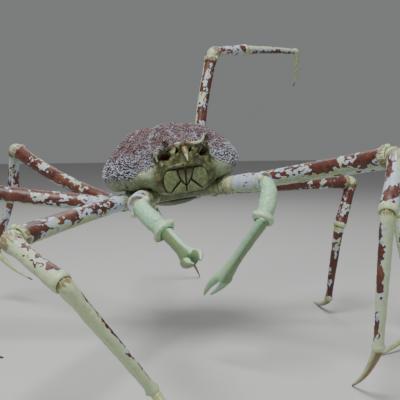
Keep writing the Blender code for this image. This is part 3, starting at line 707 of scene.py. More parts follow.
# Rods: two ends and the radius at each.
SNOUT_RODS = (
    ((0.0, -0.30, 0.040), (0.0, -0.38, 0.050), 0.062, 0.050),
    ((0.0, -0.38, 0.050), (0.0, -0.440, 0.076), 0.050, 0.026),
)
# Eggs: the middle and the radii, and how softly the hollows are cut.
CHEEK = ((0.215, -0.235, -0.105), (0.155, 0.135, 0.080))
RIDGES = (
    ((0.030, -0.415, 0.068), (0.110, -0.430, 0.064), 0.016, 0.013),
    ((0.110, -0.430, 0.064), (0.160, -0.420, 0.052), 0.013, 0.012),
    ((0.160, -0.420, 0.052), (0.192, -0.385, 0.020), 0.012, 0.010),
    ((0.060, -0.405, -0.050), (0.165, -0.385, -0.046), 0.016, 0.014),
    ((0.020, -0.425, 0.050), (0.030, -0.420, -0.030), 0.011, 0.013),
    ((0.084, -0.420, 0.050), (0.088, -0.415, -0.030), 0.008, 0.010),
)
HOLLOWS = (
    ((0.134, -0.440, 0.006), (0.043, 0.075, 0.031), 0.010),
    ((0.046, -0.450, 0.030), (0.015, 0.055, 0.021), 0.007),
)


def body_field(p, shell):
    """The shell, the mouth frame, the cheeks, the snout and the ridges joined, less the orbits."""
    field = soft_union(shell, head_distance(p), 0.07)
    for a, b, ra, rb in SNOUT_RODS:
        field = soft_union(field, rod_distance(p, a, b, ra, rb), 0.03)
    stir = [0.005 * waves(p, 0.055, 26), 0.0 * p[..., 0], 0.005 * waves(p, 0.045, 27)]
    rough = p + np.stack(stir, -1)
    for side in (1, -1):
        field = soft_union(field, ball_distance(p, mirror(CHEEK[0], side), CHEEK[1]), 0.06)
        for a, b, ra, rb in RIDGES:
            rod = rod_distance(rough, mirror(a, side), mirror(b, side), ra, rb)
            field = soft_union(field, rod, 0.014)
        for centre, radii, width in HOLLOWS:
            field = soft_cut(field, ball_distance(rough, mirror(centre, side), radii), width)
    return field


# The search for the surface: how far out it starts, its steps, and the share of the field in each.
SEARCH_START = 0.62
SEARCH_STEPS = 60
SEARCH_SHARE = 0.8
GROOVE_SINK = 0.008
MOUTH_SINK = 0.013
LIP_SWELL = 0.009
SHELL_COLUMNS = 400
SHELL_ROWS = 228
RIM_DOWN = unit(np.array((0, RIM_SLOPE, -1.0)))


def uneven(count, crowd, strength, closed):
    """Shares from 0 to 1 that stand closer together near one place of the way."""
    t = np.linspace(0, 1, count, endpoint=not closed)
    fine = np.linspace(0, 1, 4000)
    away = np.abs(fine - crowd)
    if closed:
        away = np.minimum(away, 1 - away)
    weight = 1 + strength * hump(away, 0, 0.14)
    total = np.concatenate([[0], np.cumsum((weight[1:] + weight[:-1]) / 2)])
    return np.interp(t, total / total[-1], fine)


def shell_directions():
    """Angles round the body and from its top down, closest together at the face."""
    angle = uneven(SHELL_COLUMNS, 0.5, 1.6, True) * 2 * math.pi - 1.5 * math.pi
    polar = uneven(SHELL_ROWS, 0.52, 0.9, False) * math.radians(158) + math.radians(2)
    return angle, polar


MOUTH_MIDDLE = -0.008
MOUTH_HALF = 0.1555
MOUTH_LEVELS = (-0.24, -0.225, -0.20, -0.16, -0.09)
MOUTH_WIDTHS = (0.74, 0.88, 0.97, 1.0, 0.94)


def mouth_arch(x):
    """The height of the mouth frame's upper edge."""
    away = np.abs(x - MOUTH_MIDDLE) / MOUTH_HALF
    return -0.078 - 0.014 * away**2 - 0.050 * away**7


def mouth_mask(p):
    """1 inside the mouth opening and 0 outside, with a soft edge, for points on the front."""
    x, y, z = p[..., 0], p[..., 1], p[..., 2]
    half = MOUTH_HALF * np.interp(z, MOUTH_LEVELS, MOUTH_WIDTHS)
    wide = smooth_step(half + 0.005, half - 0.005, np.abs(x - MOUTH_MIDDLE))
    high = smooth_step(mouth_arch(x) + 0.005, mouth_arch(x) - 0.005, z)
    return wide * high * smooth_step(-0.30, -0.33, y)


# The grooves on the crab's left half, as curves in plan.
GROOVES = (
    ((0.10, 0.03), (0.20, -0.02), (0.30, -0.13), (0.42, -0.17)),
    ((0.10, 0.03), (0.115, 0.12), (0.13, 0.24), (0.11, 0.36)),
    ((0.10, 0.03), (0.09, -0.06), (0.15, -0.20), (0.16, -0.33)),
)


def groove_depth(x, y, width):
    """How deep the grooves between the regions are: bell-shaped across smooth curves in plan."""
    total = np.zeros(x.shape)
    for curve in GROOVES:
        points = bezier(curve, np.linspace(0, 1, 24))
        nearest = np.full(x.shape, 9.0)
        for px, py in points:
            nearest = np.minimum(nearest, np.hypot(np.abs(x) - px, y - py))
        total = np.maximum(total, hump(nearest, 0, width))
    return total


STREAKS = (
    ((-0.31, -0.12), (-0.25, -0.08), (-0.20, 0.00)),
    ((-0.20, -0.28), (-0.19, -0.20), (-0.08, -0.12)),
    ((-0.010, -0.38), (-0.015, -0.30), (-0.03, -0.20)),
    ((0.12, -0.30), (0.16, -0.20), (0.18, -0.10)),
)


def streak_mask(x, y):
    """Pale streaks along a few short curves in plan."""
    total = np.zeros(x.shape)
    for curve in STREAKS:
        for px, py in bezier(curve, np.linspace(0, 1, 16)):
            total = np.maximum(total, hump(np.hypot(x - px, y - py), 0, 0.020))
    broken = waves(np.stack([x, y, 0 * x], -1), 0.045, 41)
    return total * smooth_step(-0.9, 0.7, broken)


def carapace_surface():
    """The whole shell: along each direction from its middle, the farthest root of the body field.

    The point starts outside and steps inwards by a share of the field until it rests on the surface.
    Then the grooves sink it, soft lumps stir it and the mouth opening is pressed in.
    """
    angle, polar = shell_directions()
    reach = plain_reach(angle, polar)
    a, b = np.meshgrid(angle, polar)
    line = np.stack([np.sin(b) * np.cos(a), np.sin(b) * np.sin(a), np.cos(b)], -1)
    far = np.full(reach.shape, SEARCH_START)
    for _ in range(SEARCH_STEPS):
        p = SHELL_MIDDLE + line * far[..., None]
        far = far - SEARCH_SHARE * body_field(p, (far - reach) * 0.85)
    p = SHELL_MIDDLE + line * far[..., None]
    above = smooth_step(-0.02, 0.08, p[..., 2])
    sink = GROOVE_SINK * groove_depth(p[..., 0], p[..., 1], 0.020) * above
    face = face_mask(p)
    stir = 0.0030 * waves(p, 0.11, 3) + 0.0020 * waves(p, 0.045, 4)
    stir = stir * (0.35 + 0.65 * above) * (1 - 0.5 * face)
    far = far - sink + stir
    p = SHELL_MIDDLE + line * far[..., None]
    mouth = mouth_mask(p)
    p[..., 1] += MOUTH_SINK * mouth * smooth_step(-0.25, -0.235, p[..., 2])
    arch = hump(p[..., 2], mouth_arch(p[..., 0]) + 0.012, 0.012)
    beside = smooth_step(0.19, 0.15, np.abs(p[..., 0] - MOUTH_MIDDLE))
    lip = arch * beside * smooth_step(-0.30, -0.34, p[..., 1])
    p[..., 1] -= LIP_SWELL * lip * (1 - mouth)
    flat = (p - np.array((0, 0, RIM_Z))) @ RIM_DOWN
    head = (np.abs(p[..., 0]) < 0.23) & (p[..., 1] < -0.24)
    over = np.where(head, 0.0, np.maximum(flat, 0.0))
    p = p - over[..., None] * RIM_DOWN
    return p, mouth, face


def face_mask(p):
    """1 on the smooth olive face between the brows and the mouth, 0 on the rough shell."""
    x, y, z = p[..., 0], p[..., 1], p[..., 2]
    wide = smooth_step(0.265, 0.175, np.abs(x))
    brow = 0.030 + 0.050 * hump(x, 0, 0.13)
    high = smooth_step(brow + 0.020, brow - 0.020, z)
    return wide * high * smooth_step(-0.26, -0.35, y)


# Places of painted shade, places painted brown, partly as shade, and places painted mint, partly as
# highlight: middle, spread, amount.
SHADED_PLACES = (
    ((0.134, -0.390, 0.004), 0.042, 1.0),
    ((-0.134, -0.390, 0.004), 0.030, 0.75),
    ((0.046, -0.405, 0.028), 0.024, 1.0),
    ((-0.046, -0.405, 0.028), 0.024, 1.0),
    ((-0.385, -0.193, -0.143), 0.016, 1.2),
    ((-0.024, -0.446, -0.065), 0.011, 1.0),
)
# Brown places: partly brown patches, partly painted shade in the orbits and hollows.
FACE_BROWN_AND_SHADE_PLACES = (
    ((-0.134, -0.390, 0.004), 0.052, 1.0),
    ((-0.090, -0.400, 0.062), 0.020, 0.6),
    ((0.090, -0.410, -0.010), 0.020, 0.5),
    ((-0.165, -0.380, -0.060), 0.022, 0.5),
    ((0.150, -0.390, -0.064), 0.020, 0.4),
    ((0.030, -0.415, -0.062), 0.034, 0.65),
    ((-0.075, -0.410, -0.058), 0.022, 0.5),
    ((0.085, -0.410, -0.070), 0.022, 0.45),
    ((-0.036, -0.420, 0.000), 0.016, 0.6),
)
# Mint places: partly pale patches, partly painted highlight on the ridges and brows.
MINT_AND_HIGHLIGHT_PLACES = (
    ((-0.185, -0.400, 0.030), 0.030, 0.8),
    ((-0.105, -0.400, 0.052), 0.022, 0.7),
    ((-0.190, -0.350, -0.030), 0.040, 0.5),
    ((-0.250, -0.290, -0.060), 0.070, 0.75),
    ((-0.145, -0.380, -0.094), 0.032, 0.7),
    ((0.078, -0.410, 0.020), 0.018, 0.9),
    ((-0.078, -0.410, 0.030), 0.018, 0.9),
    ((-0.135, -0.395, -0.040), 0.022, 0.8),
    ((-0.055, -0.415, -0.028), 0.016, 0.7),
    ((0.020, -0.430, -0.020), 0.014, 0.7),
    ((0.120, -0.400, -0.048), 0.020, 0.7),
    ((-0.060, -0.415, -0.084), 0.026, 0.6),
    ((0.100, -0.400, -0.030), 0.016, 0.7),
    ((0.190, -0.380, 0.040), 0.026, 0.8),
    ((0.000, -0.430, 0.080), 0.036, 0.6),
    ((0.200, -0.350, -0.045), 0.045, 0.5),
    ((-0.300, -0.200, -0.165), 0.060, 0.35),
    ((0.300, -0.200, -0.120), 0.070, 0.45),
)


def spots_mask(p, places):
    """The strongest of a few soft round spots at each point."""
    total = np.zeros(p.shape[:-1])
    for place, spread, amount in places:
        total = np.maximum(total, amount * hump(np.linalg.norm(p - place, axis=-1), 0, spread))
    return total


def build_carapace():
    """The carapace piece, with masks for its belt, rim, face, streaks, the painted shade of its mouth
    opening, orbits and pits, brown places that are partly painted shade and mint places that are partly
    painted highlight.
    """
    p, mouth, face = carapace_surface()
    x, y, z = p[..., 0], p[..., 1], p[..., 2]
    edge = rim_level(y)
    rim = smooth_step(edge + 0.010, edge - 0.010, z)
    belt = smooth_step(0.10, 0.00, z) * (1 - rim) * (1 - face)
    # Painted shade: the mouth opening, a thin line under the mouth arch and the shaded places.
    lip = 0.55 * hump(z, mouth_arch(x) - 0.001, 0.005) * (face > 0.5)
    dark = np.maximum(np.maximum(mouth * smooth_step(-0.240, -0.226, z), lip), spots_mask(p, SHADED_PLACES))
    masks = {
        "belt": belt, "rim": rim, "face": face, "seam": dark,
        "streak": streak_mask(x, y) * smooth_step(0.02, 0.08, z),
        "brown": spots_mask(p, FACE_BROWN_AND_SHADE_PLACES), "mint": spots_mask(p, MINT_AND_HIGHLIGHT_PLACES),
    }
    Skin().add_grid(to_world(p), **masks).piece("carapace_shell", "shell", ["carapace"])
    return p


def rim_level(y):
    """The level where the rough belt meets the smooth rim: lowest beside the face, higher behind it."""
    return -0.048 - 0.040 * smooth_step(-0.05, -0.24, y) + 0.055 * smooth_step(-0.30, -0.38, y)


# Tubercles and spines

def surface_reader(grid):
    """Reads places and outward directions off the shell's grid at angles and polar angles."""
    angle, polar = shell_directions()
    du = np.roll(grid, -1, 1) - np.roll(grid, 1, 1)
    dv = np.gradient(grid, axis=0)
    normal = unit(np.cross(dv, du))
    normal *= np.sign(np.einsum("ijk,ijk->ij", normal, grid - SHELL_MIDDLE))[..., None]

    def read(a, b):
        quarter = 1.5 * math.pi
        column = np.interp((a + quarter) % (2 * math.pi), angle + quarter, np.arange(len(angle)))
        row = np.interp(b, polar, np.arange(len(polar)))
        i, j = np.round(row).astype(int), np.round(column).astype(int) % len(angle)
        return grid[i, j], normal[i, j]

    return read


def cones(places, outs, heights, widths, profile, sides, lean=None):
    """Many small cones at once: a profile of (share out, share of height) turned round each direction."""
    helper = np.where(np.abs(outs[:, 2:3]) < 0.9, np.array([[0, 0, 1.0]]), np.array([[1.0, 0, 0]]))
    e1 = unit(np.cross(outs, helper))
    ring = spokes(e1, np.cross(outs, e1), circle(sides))
    lean = np.zeros_like(places) if lean is None else lean
    rows = []
    for out, up in profile:
        centre = places + outs * (heights * up)[:, None] + lean * (heights * max(up, 0) ** 2)[:, None]
        rows.append(centre[:, None, :] + ring * (widths * out)[:, None, None])
    return np.stack(rows, 1)


def add_cones(skin, grids, profile, tint):
    """Adds an array of cone grids to a skin in one step, closed at foot and tip."""
    number, rows, sides = grids.shape[:3]
    feet, tips = grids[:, 0].mean(1), grids[:, -1].mean(1)
    points = np.concatenate([grids.reshape(number, -1, 3), feet[:, None], tips[:, None]], 1)
    shift = (np.arange(number) * points.shape[1])[:, None, None]
    quads, tris = ((faces + shift).reshape(-1, faces.shape[1]) for faces in grid_faces(rows, sides))
    ups = np.array([max(up, 0) for _, up in profile])
    tip = np.concatenate([np.repeat(ups, sides), [0.0, 1.0]])
    values = {"tip": np.tile(tip, number), "tint": np.repeat(tint, points.shape[1])}
    skin.add(points.reshape(-1, 3), quads, tris, values)


GOLDEN_ANGLE = 137.508
# How far out and how high each ring of a tubercle or a spine stands.
TUBERCLE_PROFILE = ((1.0, -0.3), (0.84, 0.36), (0.34, 0.92))
TUBERCLE_SIDES = 5
TUBERCLE_SEED = 11
SPINE_PROFILE = (
    (1.15, -0.4), (1.05, 0.0), (0.80, 0.18), (0.58, 0.40), (0.38, 0.64), (0.20, 0.84), (0.07, 0.97),
)
TUBERCLE_COUNT = 12500
TUBERCLE_END = 104
SPINE_COUNT = 130
SPINE_END = 86
SPINE_SIDES = 10
SPINE_LEAN = (0, -0.12, 0.14)


def keeps_rough(place, fringe=0.0):
    """True where the shell is rough: above the rim and off the face, with a ragged fringe."""
    edge = rim_level(place[:, 1])
    return (place[:, 2] > edge + 0.004 - fringe) & (face_mask(place) < 0.80 + 3.0 * fringe)


def golden_spread(count, end):
    """Angles and polar angles spread evenly over a cap of a ball by the golden angle."""
    share = (np.arange(count) + 0.5) / count
    polar = np.arccos(1 - share * (1 - math.cos(math.radians(end))))
    angle = (np.arange(count) * math.radians(GOLDEN_ANGLE)) % (2 * math.pi) - math.pi
    return angle, polar


def build_tubercles(grid):
    """Small tubercles all over the rough shell, paler and fuller on its flanks, and the larger spines."""
    read = surface_reader(grid)
    draw = np.random.default_rng(TUBERCLE_SEED)
    angle, polar = golden_spread(TUBERCLE_COUNT, TUBERCLE_END)
    angle = angle + draw.uniform(-0.018, 0.018, len(angle))
    polar = np.maximum(polar + draw.uniform(-0.016, 0.016, len(angle)), math.radians(2.5))
    place, out = read(angle, polar)
    more, outward = read(angle + 0.013, polar + 0.009)
    flanks = (more[:, 1] < -0.16) & (np.abs(more[:, 0]) > 0.15) & (more[:, 2] < 0.12)
    place, out = np.concatenate([place, more[flanks]]), np.concatenate([out, outward[flanks]])
    size = draw.uniform(0.60, 1.40, len(place)) * (1 + 0.25 * waves(place, 0.07, 21))
    keep = keeps_rough(place, 0.055 * draw.uniform(0, 1, len(place)) ** 3) & (size > 0.55)
    place, out, size = place[keep], out[keep], size[keep]
    size = size * (0.6 + 0.4 * smooth_step(-0.03, 0.01, place[:, 2] - rim_level(place[:, 1])))
    size = size * (1 - 0.5 * face_mask(place))
    flank = smooth_step(0.13, 0.0, place[:, 2])
    widths = (0.0045 + 0.0009 * flank) * size
    heights = (0.0062 + 0.0032 * flank) * size * draw.uniform(0.7, 1.4, len(place))
    streak = streak_mask(place[:, 0], place[:, 1]) * smooth_step(0.02, 0.08, place[:, 2])
    tint = np.clip(0.16 + 0.66 * flank + 0.38 * streak + draw.normal(0, 0.24, len(place)), 0, 1)
    y = place[:, 1]
    for name, part in (("front", y < -0.12), ("middle", (y >= -0.12) & (y < 0.16)), ("rear", y >= 0.16)):
        cone_piece(
            "tubercles_" + name, place[part], out[part], heights[part], widths[part], tint[part],
            TUBERCLE_PROFILE, TUBERCLE_SIDES,
        )
    build_spines(read, draw)


def build_spines(read, draw):
    """The larger spines, spread evenly over the dome and leaning a little up and forwards."""
    angle, polar = golden_spread(SPINE_COUNT, SPINE_END)
    plain = shell_point(angle, polar)
    plain = plain[~((plain[:, 1] < -0.36) & (np.abs(plain[:, 0]) < 0.24))]
    line = plain - SHELL_MIDDLE
    turn = np.arctan2(np.hypot(line[:, 0], line[:, 1]), line[:, 2])
    place, out = read(np.arctan2(line[:, 1], line[:, 0]), turn)
    keep = keeps_rough(place)
    place, out = place[keep], out[keep]
    low = smooth_step(0.10, 0.0, place[:, 2])
    heights = (0.0190 - 0.0040 * low) * draw.uniform(0.8, 1.15, len(place))
    tint = np.clip(0.35 + 0.45 * low + draw.normal(0, 0.12, len(place)), 0, 1)
    lean = np.repeat(np.array([SPINE_LEAN]) @ BODY_TURN.T, len(place), 0)
    cone_piece(
        "shell_spines", place, out, heights, 0.0085 - 0.0010 * low, tint, SPINE_PROFILE, SPINE_SIDES, lean
    )


def cone_piece(name, place, out, heights, widths, tint, profile, sides, lean=None):
    """One piece of many cones, from places, directions and sizes in body coordinates."""
    skin = Skin()
    grids = cones(
        to_world(place), out @ BODY_TURN.T, heights * CARAPACE_WIDTH, widths * CARAPACE_WIDTH,
        profile, sides, lean,
    )
    add_cones(skin, grids, profile, tint)
    skin.piece(name, "tubercle")


def horn_grid(path, radii, rows=26, sides=20, rough=0.06, seed=1):
    """A horn: a circle whose radius follows a table, carried along a smooth curve through a few points."""
    t = np.linspace(0, 1, rows)
    centre = bezier(path, t)
    tangent = unit(np.gradient(centre, axis=0))
    hint = np.array((0.25, 0.2, 1.0))
    e1 = unit(np.cross(tangent, hint))
    radius = np.interp(t, np.linspace(0, 1, len(radii)), radii)
    ring = spokes(e1, np.cross(tangent, e1), circle(sides))
    grid = centre[:, None] + ring * radius[:, None, None]
    stir = 1 + rough * waves(grid, 0.035, seed)
    return centre[:, None] + ring * (radius[:, None] * stir)[..., None], t


HORN_RADII = (0.017, 0.0120, 0.0100, 0.0088, 0.0075, 0.0020)
LEFT_HORN = (
    (0.0, -0.425, 0.078), (0.050, -0.475, 0.068), (0.100, -0.515, 0.050), (0.122, -0.530, 0.064),
    (0.129, -0.542, 0.116),
)
RIGHT_HORN = ((0.0, -0.425, 0.078), (-0.035, -0.475, 0.077), (-0.065, -0.525, 0.068), (-0.086, -0.562, 0.067))
ORBIT_RIM = ((0.112, -0.415, 0.062), (0.172, -0.432, 0.062), (0.198, -0.405, 0.020), (0.184, -0.405, -0.022))
ORBIT_RIM_RADII = (0.005, 0.008, 0.0075, 0.009, 0.0085, 0.005)
TOOTH = ((0.0, -0.415, 0.050), (0.002, -0.478, 0.030), (0.0, -0.480, -0.010), (0.003, -0.490, -0.048))
TOOTH_RADII = (0.028, 0.026, 0.020, 0.014, 0.008, 0.002)
# How a face spine bends at its middle, and its radii as shares of its own.
SPINE_BEND = (0.006, 0, -0.010)
SPINE_TAPER = (1.05, 1.0, 0.78, 0.50, 0.28, 0.07)
# The root, tip and radius of each spine on the left side of the face.
FACE_SPINES = (
    ((0.120, -0.35, 0.060), (0.152, -0.420, 0.075), 0.010),
    ((0.140, -0.33, -0.020), (0.168, -0.415, -0.030), 0.011),
    ((0.034, -0.37, -0.008), (0.042, -0.440, -0.018), 0.009),
    ((0.215, -0.27, -0.040), (0.272, -0.365, -0.055), 0.015),
    ((0.185, -0.30, 0.050), (0.215, -0.385, 0.060), 0.013),
    ((0.190, -0.33, -0.020), (0.222, -0.395, -0.030), 0.010),
    ((0.090, -0.37, -0.040), (0.100, -0.435, -0.050), 0.008),
)


def build_face_spines():
    """The two horns of the snout, the tooth that hangs between them and the spines round the orbits."""
    skin = Skin()
    for path, seed in ((LEFT_HORN, 3), (RIGHT_HORN, 4)):
        grid, t = horn_grid(path, HORN_RADII, rough=0.12, seed=seed)
        skin.add_grid(to_world(grid), tip=0.80 * smooth_step(-0.1, 0.7, t)[:, None])
    for side in (1, -1):
        grid, t = horn_grid(mirror(ORBIT_RIM, side), ORBIT_RIM_RADII, rough=0.22, seed=6 + side)
        skin.add_grid(to_world(grid), tip=0.35 + 0.25 * np.sin(t * 9)[:, None])
        for number, (root, tip, radius) in enumerate(FACE_SPINES):
            root, tip = mirror(root, side), mirror(tip, side)
            bend = (root + tip) / 2 + mirror(SPINE_BEND, side)
            grid, t = horn_grid((root, bend, tip), np.array(SPINE_TAPER) * radius, seed=10 + number + side)
            skin.add_grid(to_world(grid), tip=t[:, None])
    grid, t = horn_grid(TOOTH, TOOTH_RADII, seed=30)
    skin.add_grid(to_world(grid), tip=smooth_step(0.30, 0.95, t)[:, None])
    skin.piece("face_spines", "spine")


# Eyes, feelers and mouth plates

# Eye caps: the middle, the way up the cap, and its half length and radius.
EYES = {
    "L": ((0.160, -0.462, 0.096), (0.12, -0.30, 0.94)),
    "R": ((-0.126, -0.462, 0.090), (-0.32, -0.35, 0.88)),
}
EYE_HALF = 0.0290
EYE_RADIUS = 0.0195
STALK_ROOT = (0.125, -0.385, 0.050)
STALK_RADII = (0.015, 0.013, 0.012, 0.0130, 0.0150, 0.0150)
# The joints of a left feeler, each as a path and its radii.
FEELER_JOINTS = (
    (((0.062, -0.390, -0.006), (0.066, -0.412, -0.014), (0.072, -0.430, -0.018)), (0.013, 0.0125, 0.011)),
    (((0.071, -0.426, -0.018), (0.077, -0.440, -0.014), (0.085, -0.452, -0.006)), (0.008, 0.0080, 0.006)),
    (((0.084, -0.450, -0.007), (0.100, -0.476, 0.008), (0.108, -0.490, 0.030)), (0.0040, 0.0030, 0.0016)),
)


def build_eyes():
    """A pale stalk that bends up from the orbit, and the dark egg-shaped cap on its end."""
    for name, (middle, way) in EYES.items():
        middle, way = np.array(middle), unit(np.array(way))
        side = 1 if name == "L" else -1
        root = mirror(STALK_ROOT, side)
        stalk = [root, middle - way * 0.040 + (0, 0.016, 0), middle - way * EYE_HALF * 0.4]
        grid, t = horn_grid(stalk, STALK_RADII, 20, 20, 0.05, 40 + side)
        Skin().add_grid(to_world(grid), tip=0.15 + 0.30 * t[:, None]).piece("eye_stalk_" + name, "spine")
        t = np.linspace(-0.97, 0.985, 24)
        swell = np.sqrt(1 - t**2) * (1.0 - 0.10 * t)
        across = unit(np.cross(way, (0, 1.0, 0)))
        ring = spokes(across, np.cross(way, across), circle(28))
        centre = middle + way * (EYE_HALF * t)[:, None]
        grid = centre[:, None] + ring * (EYE_RADIUS * swell)[:, None, None]
        Skin().add_grid(to_world(grid)).piece("eye_cap_" + name, "eye", ["eye_" + name])


def build_feelers():
    """Each feeler: a stout first joint, a second, and a thin whip that curves up and out."""
    for name, side in (("L", 1), ("R", -1)):
        skin = Skin()
        for number, (path, radii) in enumerate(FEELER_JOINTS):
            grid, t = horn_grid(mirror(path, side), radii, 18, 14, 0.04, 50 + number)
            skin.add_grid(to_world(grid), tip=0.1 + 0.4 * t[:, None])
        skin.piece("feeler_" + name, "spine", ["antenna_" + name])


def plate_grid(outline, thick, side, rows=14, sides=96):
    """A domed plate: its outline drawn in towards its middle in steps, full in front and flat behind.

    The outline is a few corners in x and z, each rounded by a short smooth curve.
    """
    corners = np.array(outline, float)
    before = corners + 0.25 * (np.roll(corners, 1, 0) - corners)
    after = corners + 0.25 * (np.roll(corners, -1, 0) - corners)
    guide = np.stack([before, corners, after], 1).reshape(-1, 2)
    t = np.linspace(0, len(guide), sides, endpoint=False)
    index, part = t.astype(int), (t % 1)[:, None]
    start = (np.roll(guide, 1, 0)[index] + guide[index]) / 2
    end = (guide[index] + np.roll(guide, -1, 0)[index]) / 2
    curve = start * (1 - part) ** 2 + guide[index] * 2 * part * (1 - part) + end * part**2
    middle = curve.mean(0)
    turn = np.linspace(0, math.pi, rows)
    shrink = np.clip(np.sin(turn), 0.04, 1) ** 0.40
    depth = np.cos(turn)
    grid = middle + (curve[None] - middle) * shrink[:, None, None]
    x, z = MOUTH_MIDDLE + grid[..., 0] * side, grid[..., 1]
    y = MOUTH_FRONT - MOUTH_SLOPE * (z + 0.16) - thick * depth[:, None]
    edge = np.repeat(np.where(depth > 0, shrink, 1.0)[:, None], sides, 1)
    return np.stack([x, y, z], -1), smooth_step(0.88, 1.0, edge)


# Each plate's corners in x and z, its thickness, and how brown its upper part is.
MOUTH_PARTS = (
    ((
        (0.059, -0.090), (0.098, -0.086), (0.132, -0.099), (0.150, -0.123), (0.157, -0.160),
        (0.153, -0.197), (0.133, -0.228), (0.114, -0.238), (0.078, -0.200), (0.038, -0.164),
    ), 0.014, 0.0),
    ((
        (0.032, -0.171), (0.075, -0.207), (0.112, -0.244), (0.070, -0.248), (0.003, -0.248), (0.002, -0.207),
    ), 0.013, 0.0),
    ((
        (0.003, -0.087), (0.034, -0.087), (0.054, -0.096), (0.049, -0.125), (0.032, -0.160), (0.003, -0.200),
    ), 0.016, 0.9),
)
MOUTH_FRONT = -0.388
MOUTH_SLOPE = 0.30


def build_mouth():
    """On each side three plates: the outer one, the inner one below the slanting seam, and the palp."""
    for name, side in (("L", 1), ("R", -1)):
        skin = Skin()
        for outline, thick, stain in MOUTH_PARTS:
            grid, edge = plate_grid(outline, thick, side)
            skin.add_grid(to_world(grid), edge=edge, stain=stain * smooth_step(-0.19, -0.11, grid[..., 2]))
        skin.piece("mouth_plates_" + name, "mouth", ["maxilliped_" + name])


# Chest and tail plate

CHEST_SHARES = (0, 0.35, 0.55, 0.70, 0.85, 1.0)
CHEST_HEIGHTS = (-0.12, -0.19, -0.235, -0.262, -0.277, BELLY_Z)
CHEST_REACHES = (0.345, 0.350, 0.345, 0.315, 0.26, 0.10)


def build_chest():
    """The chest: a low bowl, swollen at each leg root and grooved between them."""
    angle = circle(240)
    levels = np.linspace(0, 1, 60)
    z = np.interp(levels, CHEST_SHARES, CHEST_HEIGHTS)
    reach = np.interp(levels, CHEST_SHARES, CHEST_REACHES)
    roots = [math.radians(-a) for a in ROOT_ANGLE.values()]
    roots += [math.pi - a for a in roots]
    near = np.max([hump(np.angle(np.exp(1j * (angle - a))), 0, 0.15) for a in roots], 0)
    front = np.where(np.sin(angle) < 0, 0.88, 1.02)
    swell = 1 + 0.035 * near[None] * hump(levels, 0.45, 0.3)[:, None]
    band = smooth_step(0.2, 0.5, levels) * smooth_step(1.0, 0.75, levels)
    groove = (1 - near[None]) * band[:, None]
    plan = reach[:, None] * front[None] * swell - 0.010 * groove**3
    x, y = plan * np.cos(angle), RING_Y + plan * np.sin(angle)
    level = np.repeat(z[:, None], len(angle), 1) + 0.006 * groove**3
    grid = np.stack([x, y, level], -1)
    grid = grid + 0.0018 * waves(grid, 0.06, 60)[..., None] * np.array((1, 1, 0))
    between = smooth_step(0.30, 0.55, np.abs(np.cos(angle)))
    Skin().add_grid(to_world(grid), groove=0.8 * groove**4 * between).piece("chest", "chest", ["thorax"])


def build_tail():
    """The broad tail plate folded under the chest: an oval dome with a groove between its segments."""
    turn = circle(140)
    share = np.sin(np.linspace(0.02, math.pi - 0.02, 60))
    outer = np.linspace(-1, 1, 60)[:, None] > 0
    x = 0.155 * share[:, None] * np.cos(turn)
    y = 0.055 + 0.175 * share[:, None] * np.sin(turn)
    dome = 0.025 * (1 - share**2.2)
    seam = np.max([hump(y + 0.12 * np.abs(x), s, 0.0045) for s in np.linspace(-0.08, 0.20, 6)], 0)
    low = BELLY_Z - 0.003 - (dome[:, None] + 0.004) * outer + 0.003 * seam * outer
    grid = np.stack([x, y, np.where(outer, low, BELLY_Z + 0.004)], -1)
    Skin().add_grid(to_world(grid), groove=0.7 * seam * outer).piece("tail_plate", "chest", ["abdomen"])


# Limbs

def heading_vector(heading, elevation):
    """The unit vector of a heading in plan and an elevation, both in degrees."""
    h, e = math.radians(heading), math.radians(elevation)
    return Vector((math.cos(h) * math.cos(e), math.sin(h) * math.cos(e), math.sin(e)))


def side_frame(direction, hint):
    """Two unit vectors square to a direction: one near the hint, and one square to both."""
    up = (hint - direction * hint.dot(direction)).normalized()
    return up, direction.cross(up).normalized()


class Limb:
    """One leg or claw arm: its joints, the lines of its segments and the side that its pattern faces."""

    def __init__(self, name, side, pair, pose, lengths):
        self.name, self.pair, self.girth = name, pair, PAIR_GIRTH[pair]
        angle = math.radians(ROOT_ANGLE[pair])
        out = np.array((side * math.cos(angle), -math.sin(angle), 0))
        ring = np.array((0, RING_Y, RING_Z)) + out * RING_RADIUS
        self.joints = [
            Vector(to_world(ring - out * COXA_DEPTH)),
            Vector(to_world(ring + out * COXA_LENGTH[pair])),
        ]
        for (heading, elevation), length in zip(pose, lengths):
            if elevation is None:
                elevation = self.floor_elevation(heading, length)
            self.joints.append(self.joints[-1] + heading_vector(heading, elevation) * length)
        self.stands = pose[-1][1] is None
        self.lines = [(b - a).normalized() for a, b in zip(self.joints, self.joints[1:])]
        backs = [Vector((0, 0, 1))]
        for before, line in zip(self.lines, self.lines[1:]):
            backs.append(before.rotation_difference(line) @ side_frame(before, backs[-1])[0])
        self.backs = [side_frame(line, back)[0] for line, back in zip(self.lines, backs)]

    def floor_elevation(self, heading, length):
        """The elevation at which the lowest part of the bowed tip just sinks into the floor."""
        start = self.joints[-1]
        before = (start - self.joints[-2]).normalized()
        low, high = -89.0, 0.0
        for _ in range(20):
            elevation = (low + high) / 2
            line = heading_vector(heading, elevation)
            up = side_frame(line, before - line)[0]
            depth = min(
                (start + line * (length * share) + up * (DACTYL_BOW * length * math.sin(math.pi * share))).z
                - radius * self.girth
                for share, radius in DACTYL_RADII[2:]
            )
            low, high = (elevation, high) if depth < -FOOT_SINK else (low, elevation)
        return low

    def hint(self, index):
        """The outer side of the bend at the start of a segment."""
        hint = self.lines[index - 1] - self.lines[index]
        return hint if hint.length > 0.2 else Vector((0, 0, 1))


